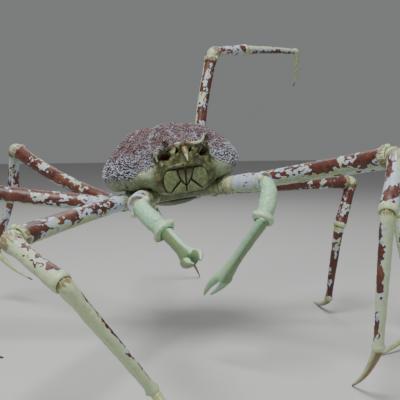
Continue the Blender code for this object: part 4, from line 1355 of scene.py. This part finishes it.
# The rings of a segment's far lip: a share of the last radius, how far beyond it, and how much inside.
LIP_RINGS = (
    (0.97, 0.05, 0.0), (0.90, 0.07, 0.0), (0.80, 0.02, 0.3), (0.72, -0.08, 0.8), (0.50, -0.12, 1.0),
    (0.20, -0.14, 1.0),
)


class Tube:
    """The surface of one limb segment: an oval of changing size carried along a planar curve.

    The centreline is straight from joint to joint, with a half sine wave of bow towards the outer side
    of the bend and one of lean in any direction. Before its start it curves in from the segment before
    it, and near there it may slip to the inner side of the bend.
    """

    def __init__(self, limb, index, profile, bow=0.0, flat=1.0, elbow=0.0, rows=120, sides=56,
                 cup=True, lean=(0, 0, 0), slip=0.0):
        start, end = (np.array(limb.joints[k]) for k in (index, index + 1))
        length = np.linalg.norm(end - start)
        line = np.array(limb.lines[index])
        before = np.array(limb.lines[index - 1]) if index else line
        up, across = side_frame(limb.lines[index], limb.hint(index) if index else Vector((0, 0, 1)))
        self.up, self.across, self.line, self.length = np.array(up), np.array(across), line, length
        shares, radii, places = stations(profile, rows)
        radius = self.smooth(places, shares, radii) * limb.girth
        far = places * length
        lead = max(elbow, 1e-6)
        t = np.clip((far + lead) / (2 * lead), 0, 1)[:, None]
        straight = start + line * far[:, None]
        enter, leave = start - before * lead, start + line * lead
        curve = enter * (1 - t) ** 2 + start * 2 * t * (1 - t) + leave * t**2
        behind = start + before * far[:, None]
        centre = np.where((far < -lead)[:, None], behind, np.where((far < lead)[:, None], curve, straight))
        arc = np.sin(math.pi * np.clip(places, 0, 1))[:, None]
        centre = centre + self.up * (bow * length * arc) + np.array(lean) * arc
        drop = slip * smooth_step(0.34, 0.0, places) * smooth_step(-0.14, -0.02, places)
        centre = centre - self.up * drop[:, None]
        tangent = unit(np.gradient(centre, far, axis=0))
        rise = np.cross(self.across, tangent)
        if rise[-1] @ self.up < 0:
            rise = -rise
        turn = circle(sides)
        self.ring = spokes(rise, self.across * flat, turn)
        self.centre, self.radius, self.shares, self.turn = centre, radius, places, turn
        self.tangent, self.far = tangent, far
        self.push = np.zeros((len(places), sides))
        self.index, self.cup = index, cup

    def smooth(self, places, shares, radii):
        """The radius table read by straight lines and then averaged over a short way."""
        near = np.linspace(-1, 1, 7)
        weights = 1 - near**2 * 0.8
        total = sum(w * np.interp(places + n * 0.010, shares, radii) for n, w in zip(near, weights))
        return total / weights.sum()

    def lump(self, share, angle, size, height):
        """A bell-shaped swelling at a share of the length and an angle from the outer side, in metres."""
        along = (self.shares[:, None] - share) * self.length
        around = np.angle(np.exp(1j * (self.turn[None] - math.radians(angle)))) * self.radius[:, None]
        self.push += height * np.exp(-(along**2 + around**2) / size**2)

    def bare(self):
        """The points of the tube before it is pushed in and out."""
        return self.centre[:, None] + self.ring * self.radius[:, None, None]

    def grid(self):
        """The points of the surface, with a rounded lip and a sunken membrane at its far end."""
        radius = self.radius[:, None] + self.push
        points = self.centre[:, None] + self.ring * radius[..., None]
        if self.cup:
            step, spoke = self.tangent[-1] * self.radius[-1], self.ring[-1] * radius[-1][:, None]
            lip = [self.centre[-1] + spoke * share + step * depth for share, depth, _ in LIP_RINGS]
            points = np.concatenate([points, lip])
        return points

    def values(self, back, start=0.0):
        """Material values: local place, how far each point faces the pattern's side, and the share."""
        grid = self.grid()
        extra = len(grid) - len(self.shares)
        radial = self.ring * self.radius[:, None, None]
        radial = np.concatenate([radial, np.repeat(radial[-1:], extra, 0)])
        back = np.asarray(back, float)
        back = unit(back - self.line * (back @ self.line))
        other = np.cross(self.line, back)
        facing = np.einsum("ijk,k->ij", unit(radial), back)
        far = np.concatenate([self.far, np.full(extra, self.far[-1])])
        shares = np.concatenate([self.shares, np.ones(extra)])
        inside = np.concatenate([np.zeros(len(self.shares)), [ring[2] for ring in LIP_RINGS][:extra]])
        return {
            "across": radial @ other, "up": radial @ back, "along": (far + start)[:, None],
            "back": facing, "share": shares[:, None], "joint": inside[:, None],
        }


def knob_grid(centre, radius, stretch, axes, rows=12, sides=16):
    """A small egg, stretched along three directions."""
    b = np.linspace(0.12, math.pi - 0.12, rows)[:, None]
    a = circle(sides)[None]
    ball = np.stack([np.sin(b) * np.cos(a), np.sin(b) * np.sin(a), np.cos(b) + 0 * a], -1)
    return centre + (ball * np.array(stretch) * radius) @ axes


COXA_PROFILE = (
    (-0.05, 0.0090), (0.0, 0.0120), (0.45, 0.0142), (0.62, 0.0166), (0.72, 0.0172), (0.80, 0.0155),
    (0.90, 0.0150), (1.0, 0.0142), (1.04, 0.0110),
)
CLAW_COXA_PROFILE = (
    (-0.05, 0.0090), (0.0, 0.0125), (0.5, 0.0150), (0.75, 0.0162), (0.9, 0.0158), (1.0, 0.0150),
    (1.05, 0.0120),
)
MERUS_PROFILE = (
    (-0.035, 0.0060), (-0.03, 0.0105), (-0.01, 0.0128), (0.035, 0.0138), (0.080, 0.0152), (0.100, 0.0150),
    (0.112, 0.0130), (0.124, 0.0124), (0.138, 0.0142), (0.170, 0.0150),
    (0.30, 0.0150), (0.60, 0.0153), (0.84, 0.0157), (0.905, 0.0163), (0.925, 0.0170), (0.938, 0.0186),
    (0.952, 0.0189), (0.962, 0.0176),
)
CARPUS_PROFILE = (
    (-0.16, 0.0060), (-0.145, 0.0112), (-0.115, 0.0124), (-0.07, 0.0146), (-0.01, 0.0168), (0.06, 0.0168),
    (0.14, 0.0146), (0.22, 0.0132), (0.32, 0.0128), (0.50, 0.0128), (0.72, 0.0134), (0.86, 0.0144),
    (0.92, 0.0146), (0.955, 0.0152), (0.985, 0.0148), (1.0, 0.0136),
)
PROPODUS_PROFILE = (
    (-0.06, 0.0060), (-0.05, 0.0098), (-0.03, 0.0116), (0.0, 0.0122), (0.05, 0.0126), (0.12, 0.0116),
    (0.20, 0.0110), (0.40, 0.0106), (0.70, 0.0093), (0.90, 0.0085), (0.950, 0.0094), (0.975, 0.0103),
    (0.992, 0.0100), (1.0, 0.0090),
)
TOE_PROFILE = (
    (-0.07, 0.0030), (-0.05, 0.0062), (0.0, 0.0080), (0.07, 0.0082), (0.16, 0.0076), (0.25, 0.0068),
    (0.50, 0.0052), (0.75, 0.0036), (0.92, 0.0024), (0.98, 0.0016), (1.0, 0.0009),
)


def build_leg(limb, look):
    """One walking leg: root, upper leg with its short first joint, knee segment, shin and tip."""
    g = limb.girth
    build_root(limb, COXA_PROFILE)
    start = 0.37 * (1 + int(limb.pair)) + (1.7 if limb.name[4] == "R" else 0.0)
    for (part, index, profile, elbow, rows), worn in zip(LEG_PARTS, look):
        upper = part == "merus"
        bow = RAISED_BOW.get(limb.name, SEGMENT_BOW) if upper else SEGMENT_BOW
        lean = LEANS.get(limb.name, (0, 0, 0)) if upper else (0, 0, 0)
        tube = Tube(limb, index, profile, bow, LEG_FLAT[part], elbow * g, rows, lean=lean)
        dress_segment(tube, part, g)
        values = tube.values(limb.backs[index], start)
        values["cover"] = rust_cover(tube, part, values["back"], worn)
        s = values["share"]
        middle, spread = KNEE_STAIN[part]
        values["stain"] = hump(s, middle, spread)
        values["frost"] = values["spots"] = 0.0
        if upper:
            values["frost"] = smooth_step(0.26, 0.14, s) * smooth_step(0.01, 0.08, s)
            values["stain"] = np.maximum(values["stain"], 0.75 * smooth_step(0.10, 0.03, s))
        if worn[2]:
            low, high = worn[2]
            beyond = smooth_step(low - SPOT_FADE, low + SPOT_FADE, s)
            values["spots"] = beyond * smooth_step(high + SPOT_FADE, high - SPOT_FADE, s)
        skin = Skin().add_grid(tube.grid(), **values)
        for grid in segment_knobs(tube, part, g):
            skin.add_grid(grid, along=start, **KNOB_VALUES)
        skin.piece(limb.name + "_" + part + "_shell", "leg", [limb.name + "_" + part])
        start += tube.length
    tube = Tube(limb, 4, TOE_PROFILE, DACTYL_BOW, 0.88, 0.004 * g, 90, 36, cup=False)
    grid = tube.grid()
    if limb.stands:
        grid[..., 2] = np.maximum(grid[..., 2], 0.0)
    skin = Skin().add_grid(grid, **tube.values(limb.hint(4), start))
    skin.piece(limb.name + "_tip", "toe", [limb.name + "_dactyl"])


def build_root(limb, profile):
    """A limb's root, with brown rings at its two sutures and a frosted stretch beyond them."""
    tube = Tube(limb, 0, profile, rows=50, cup=False)
    s = tube.shares[:, None]
    rings = 0.9 * np.maximum(hump(s, 0.70, 0.030), 0.8 * hump(s, 0.88, 0.025))
    skin = Skin().add_grid(tube.grid(), groove=rings, frost=0.55 * smooth_step(0.80, 1.0, s))
    skin.piece(limb.name + "_root", "under", [limb.name + "_coxa"])


def rust_cover(tube, part, back, look):
    """How far rust covers each point: more on the upper side, none at the joints, then the patches.

    A patch pulls the cover to its own amount inside an oval with a flat top and soft edges.
    """
    rust, fall, _, patches = look
    rows = back.shape[0]
    s = np.concatenate([tube.shares, np.ones(rows - len(tube.shares))])[:, None]
    cover = rust + fall * back
    seen = CAMERA_PLACE - (tube.centre[0] + tube.centre[-1]) / 2
    seen = unit(seen - tube.line * (seen @ tube.line))
    over = np.cross(tube.line, seen)
    radial = np.concatenate([tube.ring, np.repeat(tube.ring[-1:], rows - len(tube.ring), 0)])
    angle = np.degrees(np.arctan2(radial @ over, radial @ seen))
    grid = tube.grid()
    s_rough = s + (0.006 * waves(grid, 0.016, 31) + 0.004 * waves(grid, 0.007, 32)) / tube.length
    angle = angle + 14 * waves(grid, 0.018, 33) + 9 * waves(grid, 0.008, 34)
    for share, middle, long, wide, amount in patches:
        turn = (angle - middle + 180) % 360 - 180
        near = np.exp(-((((s_rough - share) / long) ** 2 + (turn / wide) ** 2) ** 2))
        cover = cover * (1 - near) + amount * 0.6 * near
    low, high = CLEAR_ENDS[part]
    return cover - 1.4 * smooth_step(low[1], low[0], s) - 1.6 * smooth_step(high[0], high[1], s)


def dress_segment(tube, part, g):
    """Soft relief: low lumps all over, a keel along the outer side and swellings at the hinge."""
    grid = tube.bare()
    tube.push += 0.00022 * waves(grid, 0.022, tube.index + 70) * g
    tube.push += 0.00012 * waves(grid, 0.009, tube.index + 80) * g
    end, size = HINGE_LUMPS[part]
    for angle in (90, -90):
        tube.lump(end, angle, size * g, 0.35 * size * g)
    if part == "merus":
        for angle in (75, -75):
            tube.lump(0.085, angle, 0.008 * g, 0.0016 * g)


def segment_knobs(tube, part, g):
    """The two hinge knobs at a segment's far end."""
    back, out, radius = HINGE_KNOBS[part]
    axes = np.stack([tube.line, tube.across, tube.up])
    end = tube.centre[np.argmin(np.abs(tube.far - (tube.length - back * g)))]
    places = [end + tube.across * (out * g * side) for side in (1, -1)]
    return [knob_grid(place, radius * g, KNOB_STRETCH, axes) for place in places]


LEG_PARTS = (
    ("merus", 1, MERUS_PROFILE, 0.006, 170),
    ("carpus", 2, CARPUS_PROFILE, 0.014, 110),
    ("propodus", 3, PROPODUS_PROFILE, 0.009, 130),
)
LEG_FLAT = {"merus": 0.94, "carpus": 0.94, "propodus": 0.92}
# The share and the size of the swelling at each segment's hinge, and its knobs: how far they stand back
# from the end and out from the middle, and their radius.
HINGE_LUMPS = {"merus": (0.945, 0.0065), "carpus": (0.955, 0.0055), "propodus": (0.978, 0.0035)}
HINGE_KNOBS = {
    "merus": (0.0125, 0.0150, 0.0050), "carpus": (0.0060, 0.0125, 0.0043),
    "propodus": (0.0050, 0.0085, 0.0026),
}
# What the paint reads on a leg's hinge knobs: pale all over, with a little stain.
KNOB_VALUES = {
    "across": 0.0, "up": 0.0, "back": 0.5, "share": 0.5, "joint": 0.0, "cover": -2.0, "spots": 0.0,
    "frost": 0.0, "stain": 0.3,
}
KNOB_STRETCH = (1.1, 0.95, 0.95)
# How softly a stretch of small pale dots begins and ends, as a share.
SPOT_FADE = 0.03
# The bow of an upper leg that arches more than the others.
RAISED_BOW = {"leg_R3": 0.034}
# The middle and half length, as shares, of the brown-streaked stretch at each knee.
KNEE_STAIN = {"merus": (0.945, 0.03), "carpus": (0.08, 0.14), "propodus": (0.0, 0.03)}
# How far the middle of an upper leg leans aside, in metres.
LEANS = {"leg_L4": (-0.0115, 0.0033, 0.0)}
# The shares between which rust fades out at either end of a segment.
CLEAR_ENDS = {
    "merus": ((0.04, 0.11), (0.925, 0.945)),
    "carpus": ((0.0, 0.12), (0.90, 0.95)),
    "propodus": ((0.02, 0.08), (0.93, 0.96)),
}

# What each leg wears on its merus, carpus and propodus: how far rust covers the upper side, how strongly
# that falls off below, the stretch with small pale dots, and patches that are placed one by one. A patch has
# its share along the segment, its angle from the side that the photo shows, its half length as a share,
# its half width in degrees, and its paint: above 0 for rust and below 0 for pale, stronger further from 0.
LEG_LOOKS = {
    "L1": (
        (0.0, 0.35, (0.12, 0.48), (
            (0.50, 62, 0.60, 38, -1.2), (0.07, 0, 0.05, 180, -1), (0.118, -10, 0.008, 60, 1.2),
            (0.34, -35, 0.21, 52, 1.0), (0.62, -30, 0.12, 58, 1.5), (0.86, -22, 0.085, 66, 1.6),
            (0.51, -20, 0.03, 30, -0.8), (0.720, -15, 0.020, 46, -1.5), (0.800, -35, 0.011, 32, -1.4),
            (0.250, -30, 0.016, 22, -1), (0.175, -20, 0.020, 40, -1), (0.40, 5, 0.018, 22, -1),
        )),
        (-0.30, 0.2, None, (
            (0.25, -40, 0.16, 60, -1), (0.30, 50, 0.16, 25, 1.2), (0.74, 15, 0.13, 50, 1.4),
            (0.70, -75, 0.10, 20, 1.2),
        )),
        (-0.75, 0.1, None, (
            (0.26, 50, 0.23, 32, 1.7), (0.46, 34, 0.13, 46, 1.7), (0.62, 45, 0.02, 30, -1.2),
            (0.20, 40, 0.02, 12, -1), (0.80, 42, 0.13, 42, 1.7), (0.745, 28, 0.016, 18, -1),
            (0.86, 30, 0.014, 16, -1), (0.36, 32, 0.016, 12, -1),
        )),
    ),
    "L2": ((0.1, 0.5, (0.1, 0.5), ()), (0.0, 0.5, None, ()), (-0.1, 0.4, None, ())),
    "L3": (
        (0.45, 0.2, None, (
            (0.665, -10, 0.018, 60, -1), (0.745, 10, 0.022, 50, -1), (0.81, -30, 0.015, 30, -0.6),
        )),
        (0.45, 0.2, None, ((0.58, -15, 0.09, 60, -1), (0.15, -20, 0.08, 60, -0.6))),
        (0.5, 0.2, None, ((0.22, -10, 0.05, 70, -1), (0.60, 40, 0.06, 20, -0.5))),
    ),
    "L4": (
        (0.35, 0.2, None, (
            (0.55, -76, 0.45, 26, -1.5), (0.44, 20, 0.05, 60, -1), (0.645, -15, 0.040, 52, -1.4),
            (0.70, 25, 0.014, 20, -1.2), (0.75, -5, 0.020, 28, -1.2), (0.83, 0, 0.018, 30, -1.2),
            (0.90, 20, 0.014, 24, -1),
        )),
        (-0.2, 0.2, None, ((0.55, 30, 0.12, 40, 0.8), (0.85, -20, 0.10, 40, 0.6))),
        (-0.2, 0.1, None, ((0.50, -50, 0.50, 40, -1), (0.50, 45, 0.45, 40, 1))),
    ),
    "R1": (
        (-0.15, 0.35, (0.12, 0.46), (
            (0.50, -65, 0.70, 38, -1.2), (0.09, 0, 0.05, 180, -0.8), (0.28, 22, 0.15, 46, 1.3),
            (0.55, 30, 0.07, 50, 1.3), (0.70, 0, 0.07, 45, -0.6), (0.655, 48, 0.06, 24, 1.3),
            (0.86, 15, 0.065, 62, 1.4), (0.118, 10, 0.008, 60, 1.3), (0.83, -5, 0.012, 25, -0.9),
        )),
        (-0.80, 0.1, None, (
            (0.30, -55, 0.13, 26, 1.5), (0.22, -5, 0.05, 13, 1.4), (0.56, -60, 0.13, 20, 1.5),
            (0.80, -48, 0.13, 32, 1.7), (0.60, 5, 0.12, 10, 1.2), (0.40, 30, 0.06, 10, 0.9),
        )),
        (-0.85, 0.1, None, (
            (0.16, -70, 0.10, 16, 1.4), (0.46, -62, 0.22, 20, 1.5), (0.80, -66, 0.13, 17, 1.4),
        )),
    ),
    "R2": (
        (0.35, 0.25, None, (
            (0.50, -75, 0.70, 30, -1), (0.62, 10, 0.14, 60, 1), (0.43, 12, 0.035, 34, -1),
            (0.375, 42, 0.028, 28, -1), (0.325, 50, 0.035, 24, -1), (0.27, 28, 0.028, 24, -1),
            (0.30, 0, 0.020, 18, -0.8), (0.20, 30, 0.028, 34, -1), (0.14, 10, 0.030, 60, -1),
            (0.07, 0, 0.030, 180, -1), (0.36, -20, 0.06, 30, 0.8), (0.57, 62, 0.03, 20, -0.6),
        )),
        (0.0, 0.5, None, ()), (-0.1, 0.5, None, ()),
    ),
    "R3": (
        (0.50, 0.25, None, (
            (0.655, 25, 0.040, 48, -1), (0.725, 45, 0.016, 24, -1), (0.785, 30, 0.018, 22, -1),
            (0.42, 48, 0.07, 24, -1), (0.34, 30, 0.055, 24, -1), (0.27, 10, 0.03, 24, -1),
        )),
        (0.15, 0.2, None, ((0.20, 0, 0.10, 90, -0.8), (0.52, 20, 0.07, 50, -0.9))),
        (0.25, 0.2, None, ((0.3, 60, 0.3, 25, -1),)),
    ),
    "R4": ((0.10, 0.5, None, ()), (0.10, 0.4, None, ()), (0.05, 0.4, None, ())),
}

CLAW_MERUS_PROFILE = (
    (-0.09, 0.0070), (-0.07, 0.0115), (-0.02, 0.0135), (0.06, 0.0142), (0.14, 0.0152), (0.19, 0.0150),
    (0.215, 0.0138), (0.24, 0.0140), (0.30, 0.0158), (0.62, 0.0166), (0.78, 0.0160), (0.850, 0.0158),
    (0.885, 0.0170), (0.905, 0.0168), (0.915, 0.0152),
)
CLAW_CARPUS_PROFILE = (
    (-0.15, 0.0050), (-0.13, 0.0078), (-0.08, 0.0092), (0.0, 0.0108), (0.12, 0.0124), (0.30, 0.0136),
    (0.50, 0.0144), (0.68, 0.0144), (0.78, 0.0138), (0.825, 0.0130), (0.855, 0.0146), (0.89, 0.0176),
    (0.94, 0.0180), (0.975, 0.0160), (0.985, 0.0138),
)
PALM_PROFILE = (
    (-0.09, 0.0060), (-0.07, 0.0092), (-0.03, 0.0102), (0.05, 0.0106), (0.20, 0.0098), (0.45, 0.0092),
    (0.64, 0.0096), (0.80, 0.0114), (0.90, 0.0132), (0.96, 0.0130), (0.99, 0.0114), (1.0, 0.0080),
)
FINGER_PROFILE = (
    (0.0, 0.0066), (0.06, 0.0078), (0.20, 0.0074), (0.45, 0.0058), (0.80, 0.0034), (0.95, 0.0020),
    (1.0, 0.0010),
)


# Where the pattern of each upper arm begins, in metres along it.
ARM_START = {"claw_L": 3.1, "claw_R": 5.2}
# The knobs at either end of a wrist: the joint, the way on, up and out from it, radius and stretch.
WRIST_KNOBS = (
    (2, 0.0020, -0.0055, 0.0136, 0.0068, (1.0, 1.1, 0.85)),
    (3, -0.0075, 0.0, 0.0172, 0.0040, (1.1, 1.0, 1.0)),
)


def build_arm(limb):
    """One claw arm: root, upper arm, curved wrist with its rolled collar, palm and two fingers."""
    build_root(limb, CLAW_COXA_PROFILE)
    tube = Tube(limb, 1, CLAW_MERUS_PROFILE, 0.0, 1.0, 0.006, 130)
    dress_arm(tube, 90)
    values = tube.values(limb.backs[1], ARM_START[limb.name])
    s = values["share"]
    clear = 0.8 * smooth_step(0.3, 0.2, s) + 0.9 * smooth_step(0.78, 0.84, s)
    values["cover"] = -0.35 + 0.25 * values["back"] - clear
    values["spots"] = 0.0
    arcs = np.maximum(hump(s, 0.215, 0.018), 0.8 * hump(s, 0.02, 0.05))
    values["stain"] = np.maximum(0.9 * arcs, 0.35 * hump(s, 0.86, 0.03))
    shaded = (0.30 + 0.35 * values["back"]) * smooth_step(0.22, 0.32, s)
    values["frost"] = np.maximum(smooth_step(0.80, 0.88, s), shaded)
    lip = smooth_step(0.900, 0.915, s) * hump(values["joint"], 0.15, 0.30)
    values["joint"] = 0.70 * lip + 0.62 * smooth_step(0.24, 0.12, s)
    skin = Skin().add_grid(tube.grid(), **values)
    skin.piece(limb.name + "_merus_shell", "leg", [limb.name + "_merus"])
    tube = Tube(limb, 2, CLAW_CARPUS_PROFILE, 0.07, 0.98, 0.012, 150, 72, slip=0.0050)
    dress_arm(tube, 91)
    for angle in (90, -90):
        tube.lump(0.02, angle, 0.0085, 0.0038)
        tube.lump(0.915, angle, 0.0070, 0.0022)
    axes = np.stack([tube.line, tube.across, tube.up])
    values = tube.values(limb.backs[2])
    values["joint"] = np.maximum(values["joint"], 0.85 * smooth_step(-0.01, -0.09, values["share"]))
    # Painted olive shade on the wrist's underside.
    inner = 0.55 * smooth_step(-0.2, -0.9, values["back"])
    collar = np.maximum(hump(values["share"], 0.92, 0.05), hump(values["share"], 0.0, 0.10))
    skin = Skin().add_grid(tube.grid(), inner=inner, rim=collar, **values)
    plain = dict.fromkeys(("inner", "joint", "across", "up", "along"), 0.0)
    for joint, on, up, out, radius, stretch in WRIST_KNOBS:
        hinge = np.array(limb.joints[joint]) + tube.line * on + tube.up * up
        for side in (1, -1):
            knob = knob_grid(hinge + tube.across * out * side, radius, stretch, axes)
            skin.add_grid(knob, back=1.0, share=0.5, rim=1.0, **plain)
    skin.piece(limb.name + "_wrist", "claw", [limb.name + "_carpus"])
    build_palm(limb)


def dress_arm(tube, seed):
    """Soft relief of a claw segment: low lumps and fine wrinkles that run across it."""
    grid = tube.bare()
    tube.push += 0.00035 * waves(grid, 0.018, seed) + 0.00016 * waves(grid, 0.007, seed + 5)
    stretched = grid + tube.line * ((grid - tube.centre[0]) @ tube.line)[..., None] * 2.4
    tube.push += 0.00016 * waves(stretched, 0.013, seed + 9) + 0.00020 * waves(grid, 0.0045, seed + 12, 24)


# The way that the lit side of each palm faces, which stays mint-white, and how much olive shade is painted on
# the other side.
PALM_LIT_SIDE = {"claw_L": (-0.85, -0.2, 0.48), "claw_R": (0.55, 0.1, 0.83)}
PALM_OLIVE_SHADE = {"claw_L": 0.55, "claw_R": 1.0}


def build_palm(limb):
    """The long palm, wider where its two fingers leave it side by side, and the fingers."""
    line = np.array(limb.lines[3])
    up, across = side_frame(limb.lines[3], limb.hint(3))
    up, across = np.array(up), np.array(across)
    start, end = np.array(limb.joints[3]), np.array(limb.joints[4])
    length = np.linalg.norm(end - start)
    finger = np.array(limb.lines[4])
    reach = (Vector(limb.joints[5]) - limb.joints[4]).length
    shares, radii, places = stations(PALM_PROFILE, 130)
    radius = np.interp(places, shares, radii)
    centre = start + line * (places * length)[:, None]
    turn = circle(56)
    flat = np.interp(places, (0, 0.2, 0.8, 1), (0.95, 0.82, 0.78, 0.80))
    ring = across * np.cos(turn)[:, None] + up * (np.sin(turn)[:, None] * flat[:, None, None])
    grid = centre[:, None] + ring * radius[:, None, None]
    lumps = 0.00030 * waves(grid, 0.022, 95) + 0.00012 * waves(grid, 0.008, 96)
    lobes = 0.0026 * hump(places, 0.95, 0.045)[:, None] * np.abs(np.cos(turn)) ** 4
    grid = grid + ring * (lumps + lobes)[..., None]
    # The palm is painted as if lit: mint on the lit side, painted green and olive shade on the side away from
    # it.
    lit_side = np.array(PALM_LIT_SIDE[limb.name])
    facing = (ring @ lit_side) / np.maximum(np.linalg.norm(ring, axis=-1), 1e-9)
    olive = PALM_OLIVE_SHADE[limb.name]
    inner = olive * olive_shade_share(grid, lit_side)
    skin = Skin().add_grid(
        grid, back=np.maximum(facing, 0.2), inner=inner, joint=0.0, rim=0.0, share=places[:, None],
        across=ring @ across * 0.012, up=ring @ up * 0.012, along=(places * length)[:, None],
    )
    root = end - line * 0.014 - across * 0.0074
    tip = end - line * 0.012 - across * 0.0072 + finger * reach * 1.02 + across * 0.004
    plain = {"joint": 0.0, "across": 0.0, "up": 0.0, "share": 0.5, "rim": 0.2}
    plain["along"] = np.linspace(0, reach, 90)[:, None]
    grid = finger_grid(root, tip, -across, 0.05)
    skin.add_grid(grid, back=0.6, inner=0.75 * olive * olive_shade_share(grid, lit_side), **plain)
    skin.piece(limb.name + "_palm_shell", "claw", [limb.name + "_palm"])
    root = end + across * 0.0074 - line * 0.006
    tip = end + across * 0.0064 - line * 0.004 + finger * reach * 0.98
    grid = finger_grid(root, tip, across, 0.06)
    skin = Skin().add_grid(grid, back=0.8, inner=0.75 * olive * olive_shade_share(grid, lit_side), **plain)
    skin.piece(limb.name + "_finger_shell", "claw", [limb.name + "_finger"])


def olive_shade_share(grid, lit_side):
    """How much painted olive shade each point of a tube has: 0 where it faces the lit side and 1 where it
    faces away.
    """
    return smooth_step(0.90, 0.20, unit(grid - grid.mean(1, keepdims=True)) @ unit(lit_side))


def finger_grid(root, tip, outward, bow, rows=90, sides=36):
    """A bowed, tapering finger, a little flattened, with low teeth along its biting edge."""
    line = tip - root
    length = np.linalg.norm(line)
    direction = line / length
    bend = unit(outward - direction * (outward @ direction))
    side = np.cross(direction, bend)
    t = np.linspace(0, 1, rows)
    radius = np.interp(t, *np.array(FINGER_PROFILE).T)
    centre = root + line * t[:, None] + bend * (bow * length * np.sin(math.pi * t))[:, None]
    turn = circle(sides)
    bite = (0.5 + 0.5 * np.sin(t * 46)) * smooth_step(0.1, 0.3, t)
    teeth = 1 + 0.16 * bite[:, None] * hump(np.cos(turn), -1, 0.35)
    return centre[:, None] + spokes(bend, side * 0.80, turn) * (radius[:, None] * teeth)[..., None]


def build_animal():
    """Every piece of the crab."""
    grid = build_carapace()
    build_tubercles(grid)
    build_face_spines()
    build_eyes()
    build_feelers()
    build_mouth()
    build_chest()
    build_tail()
    for name, pose in LEG_POSE.items():
        side = 1 if name[0] == "L" else -1
        lengths = [a * b for a, b in zip(LEG_LENGTHS, PAIR_LENGTHS[name[1]])]
        build_leg(Limb("leg_" + name, side, name[1], pose, lengths), LEG_LOOKS[name])
    for name, pose in CLAW_POSE.items():
        build_arm(Limb("claw_" + name, 1 if name == "L" else -1, "0", pose, CLAW_LENGTHS))


# Floor, light and camera

SKY_COLOUR = (0.84, 0.85, 0.86, 1)
SKY_STRENGTH = 0.24
# Each lamp's name, place, power in watts and size in metres, and the point that they all face.
LAMPS = (
    ("key", (-0.6, -0.9, 2.5), 80.0, 1.0),
    ("fill", (1.9, -1.2, 1.4), 7.0, 1.6),
    ("back", (0.4, 1.9, 2.0), 20.0, 1.4),
)
LAMP_AIM = (0.03, -0.05, 0.28)


def aim_object(made, place, way):
    """Stands a lamp or the camera at a place and points it along a way."""
    made.location = place
    made.rotation_euler = way.to_track_quat("-Z", "Y").to_euler()


def build_studio():
    """A plain pale floor, a plain pale world, three soft lamps and the camera."""
    mesh = bpy.data.meshes.new("floor")
    mesh.from_pydata([(-6, -6, 0), (6, -6, 0), (6, 8, 0), (-6, 8, 0)], [], [(0, 1, 2, 3)])
    mesh.materials.append(Graph("floor").finish(FLOOR_GREY, 0.8))
    show("floor", mesh)
    world = bpy.data.worlds.new("studio")
    bpy.context.scene.world = world
    world.use_nodes = True
    sky = world.node_tree.nodes["Background"].inputs
    sky["Color"].default_value, sky["Strength"].default_value = SKY_COLOUR, SKY_STRENGTH
    for name, place, energy, size in LAMPS:
        lamp = bpy.data.lights.new(name, "AREA")
        lamp.energy, lamp.size = energy, size
        aim_object(show(name, lamp), place, Vector(LAMP_AIM) - Vector(place))
    camera = bpy.data.cameras.new("camera")
    camera.lens, camera.sensor_width = CAMERA_LENS, SENSOR_WIDTH
    bpy.context.scene.camera = show("camera", camera)
    look = CAMERA_TURN @ np.array((0, math.cos(CAMERA_TILT), -math.sin(CAMERA_TILT)))
    aim_object(bpy.context.scene.camera, CAMERA_PLACE, Vector(look))


build_animal()
build_studio()
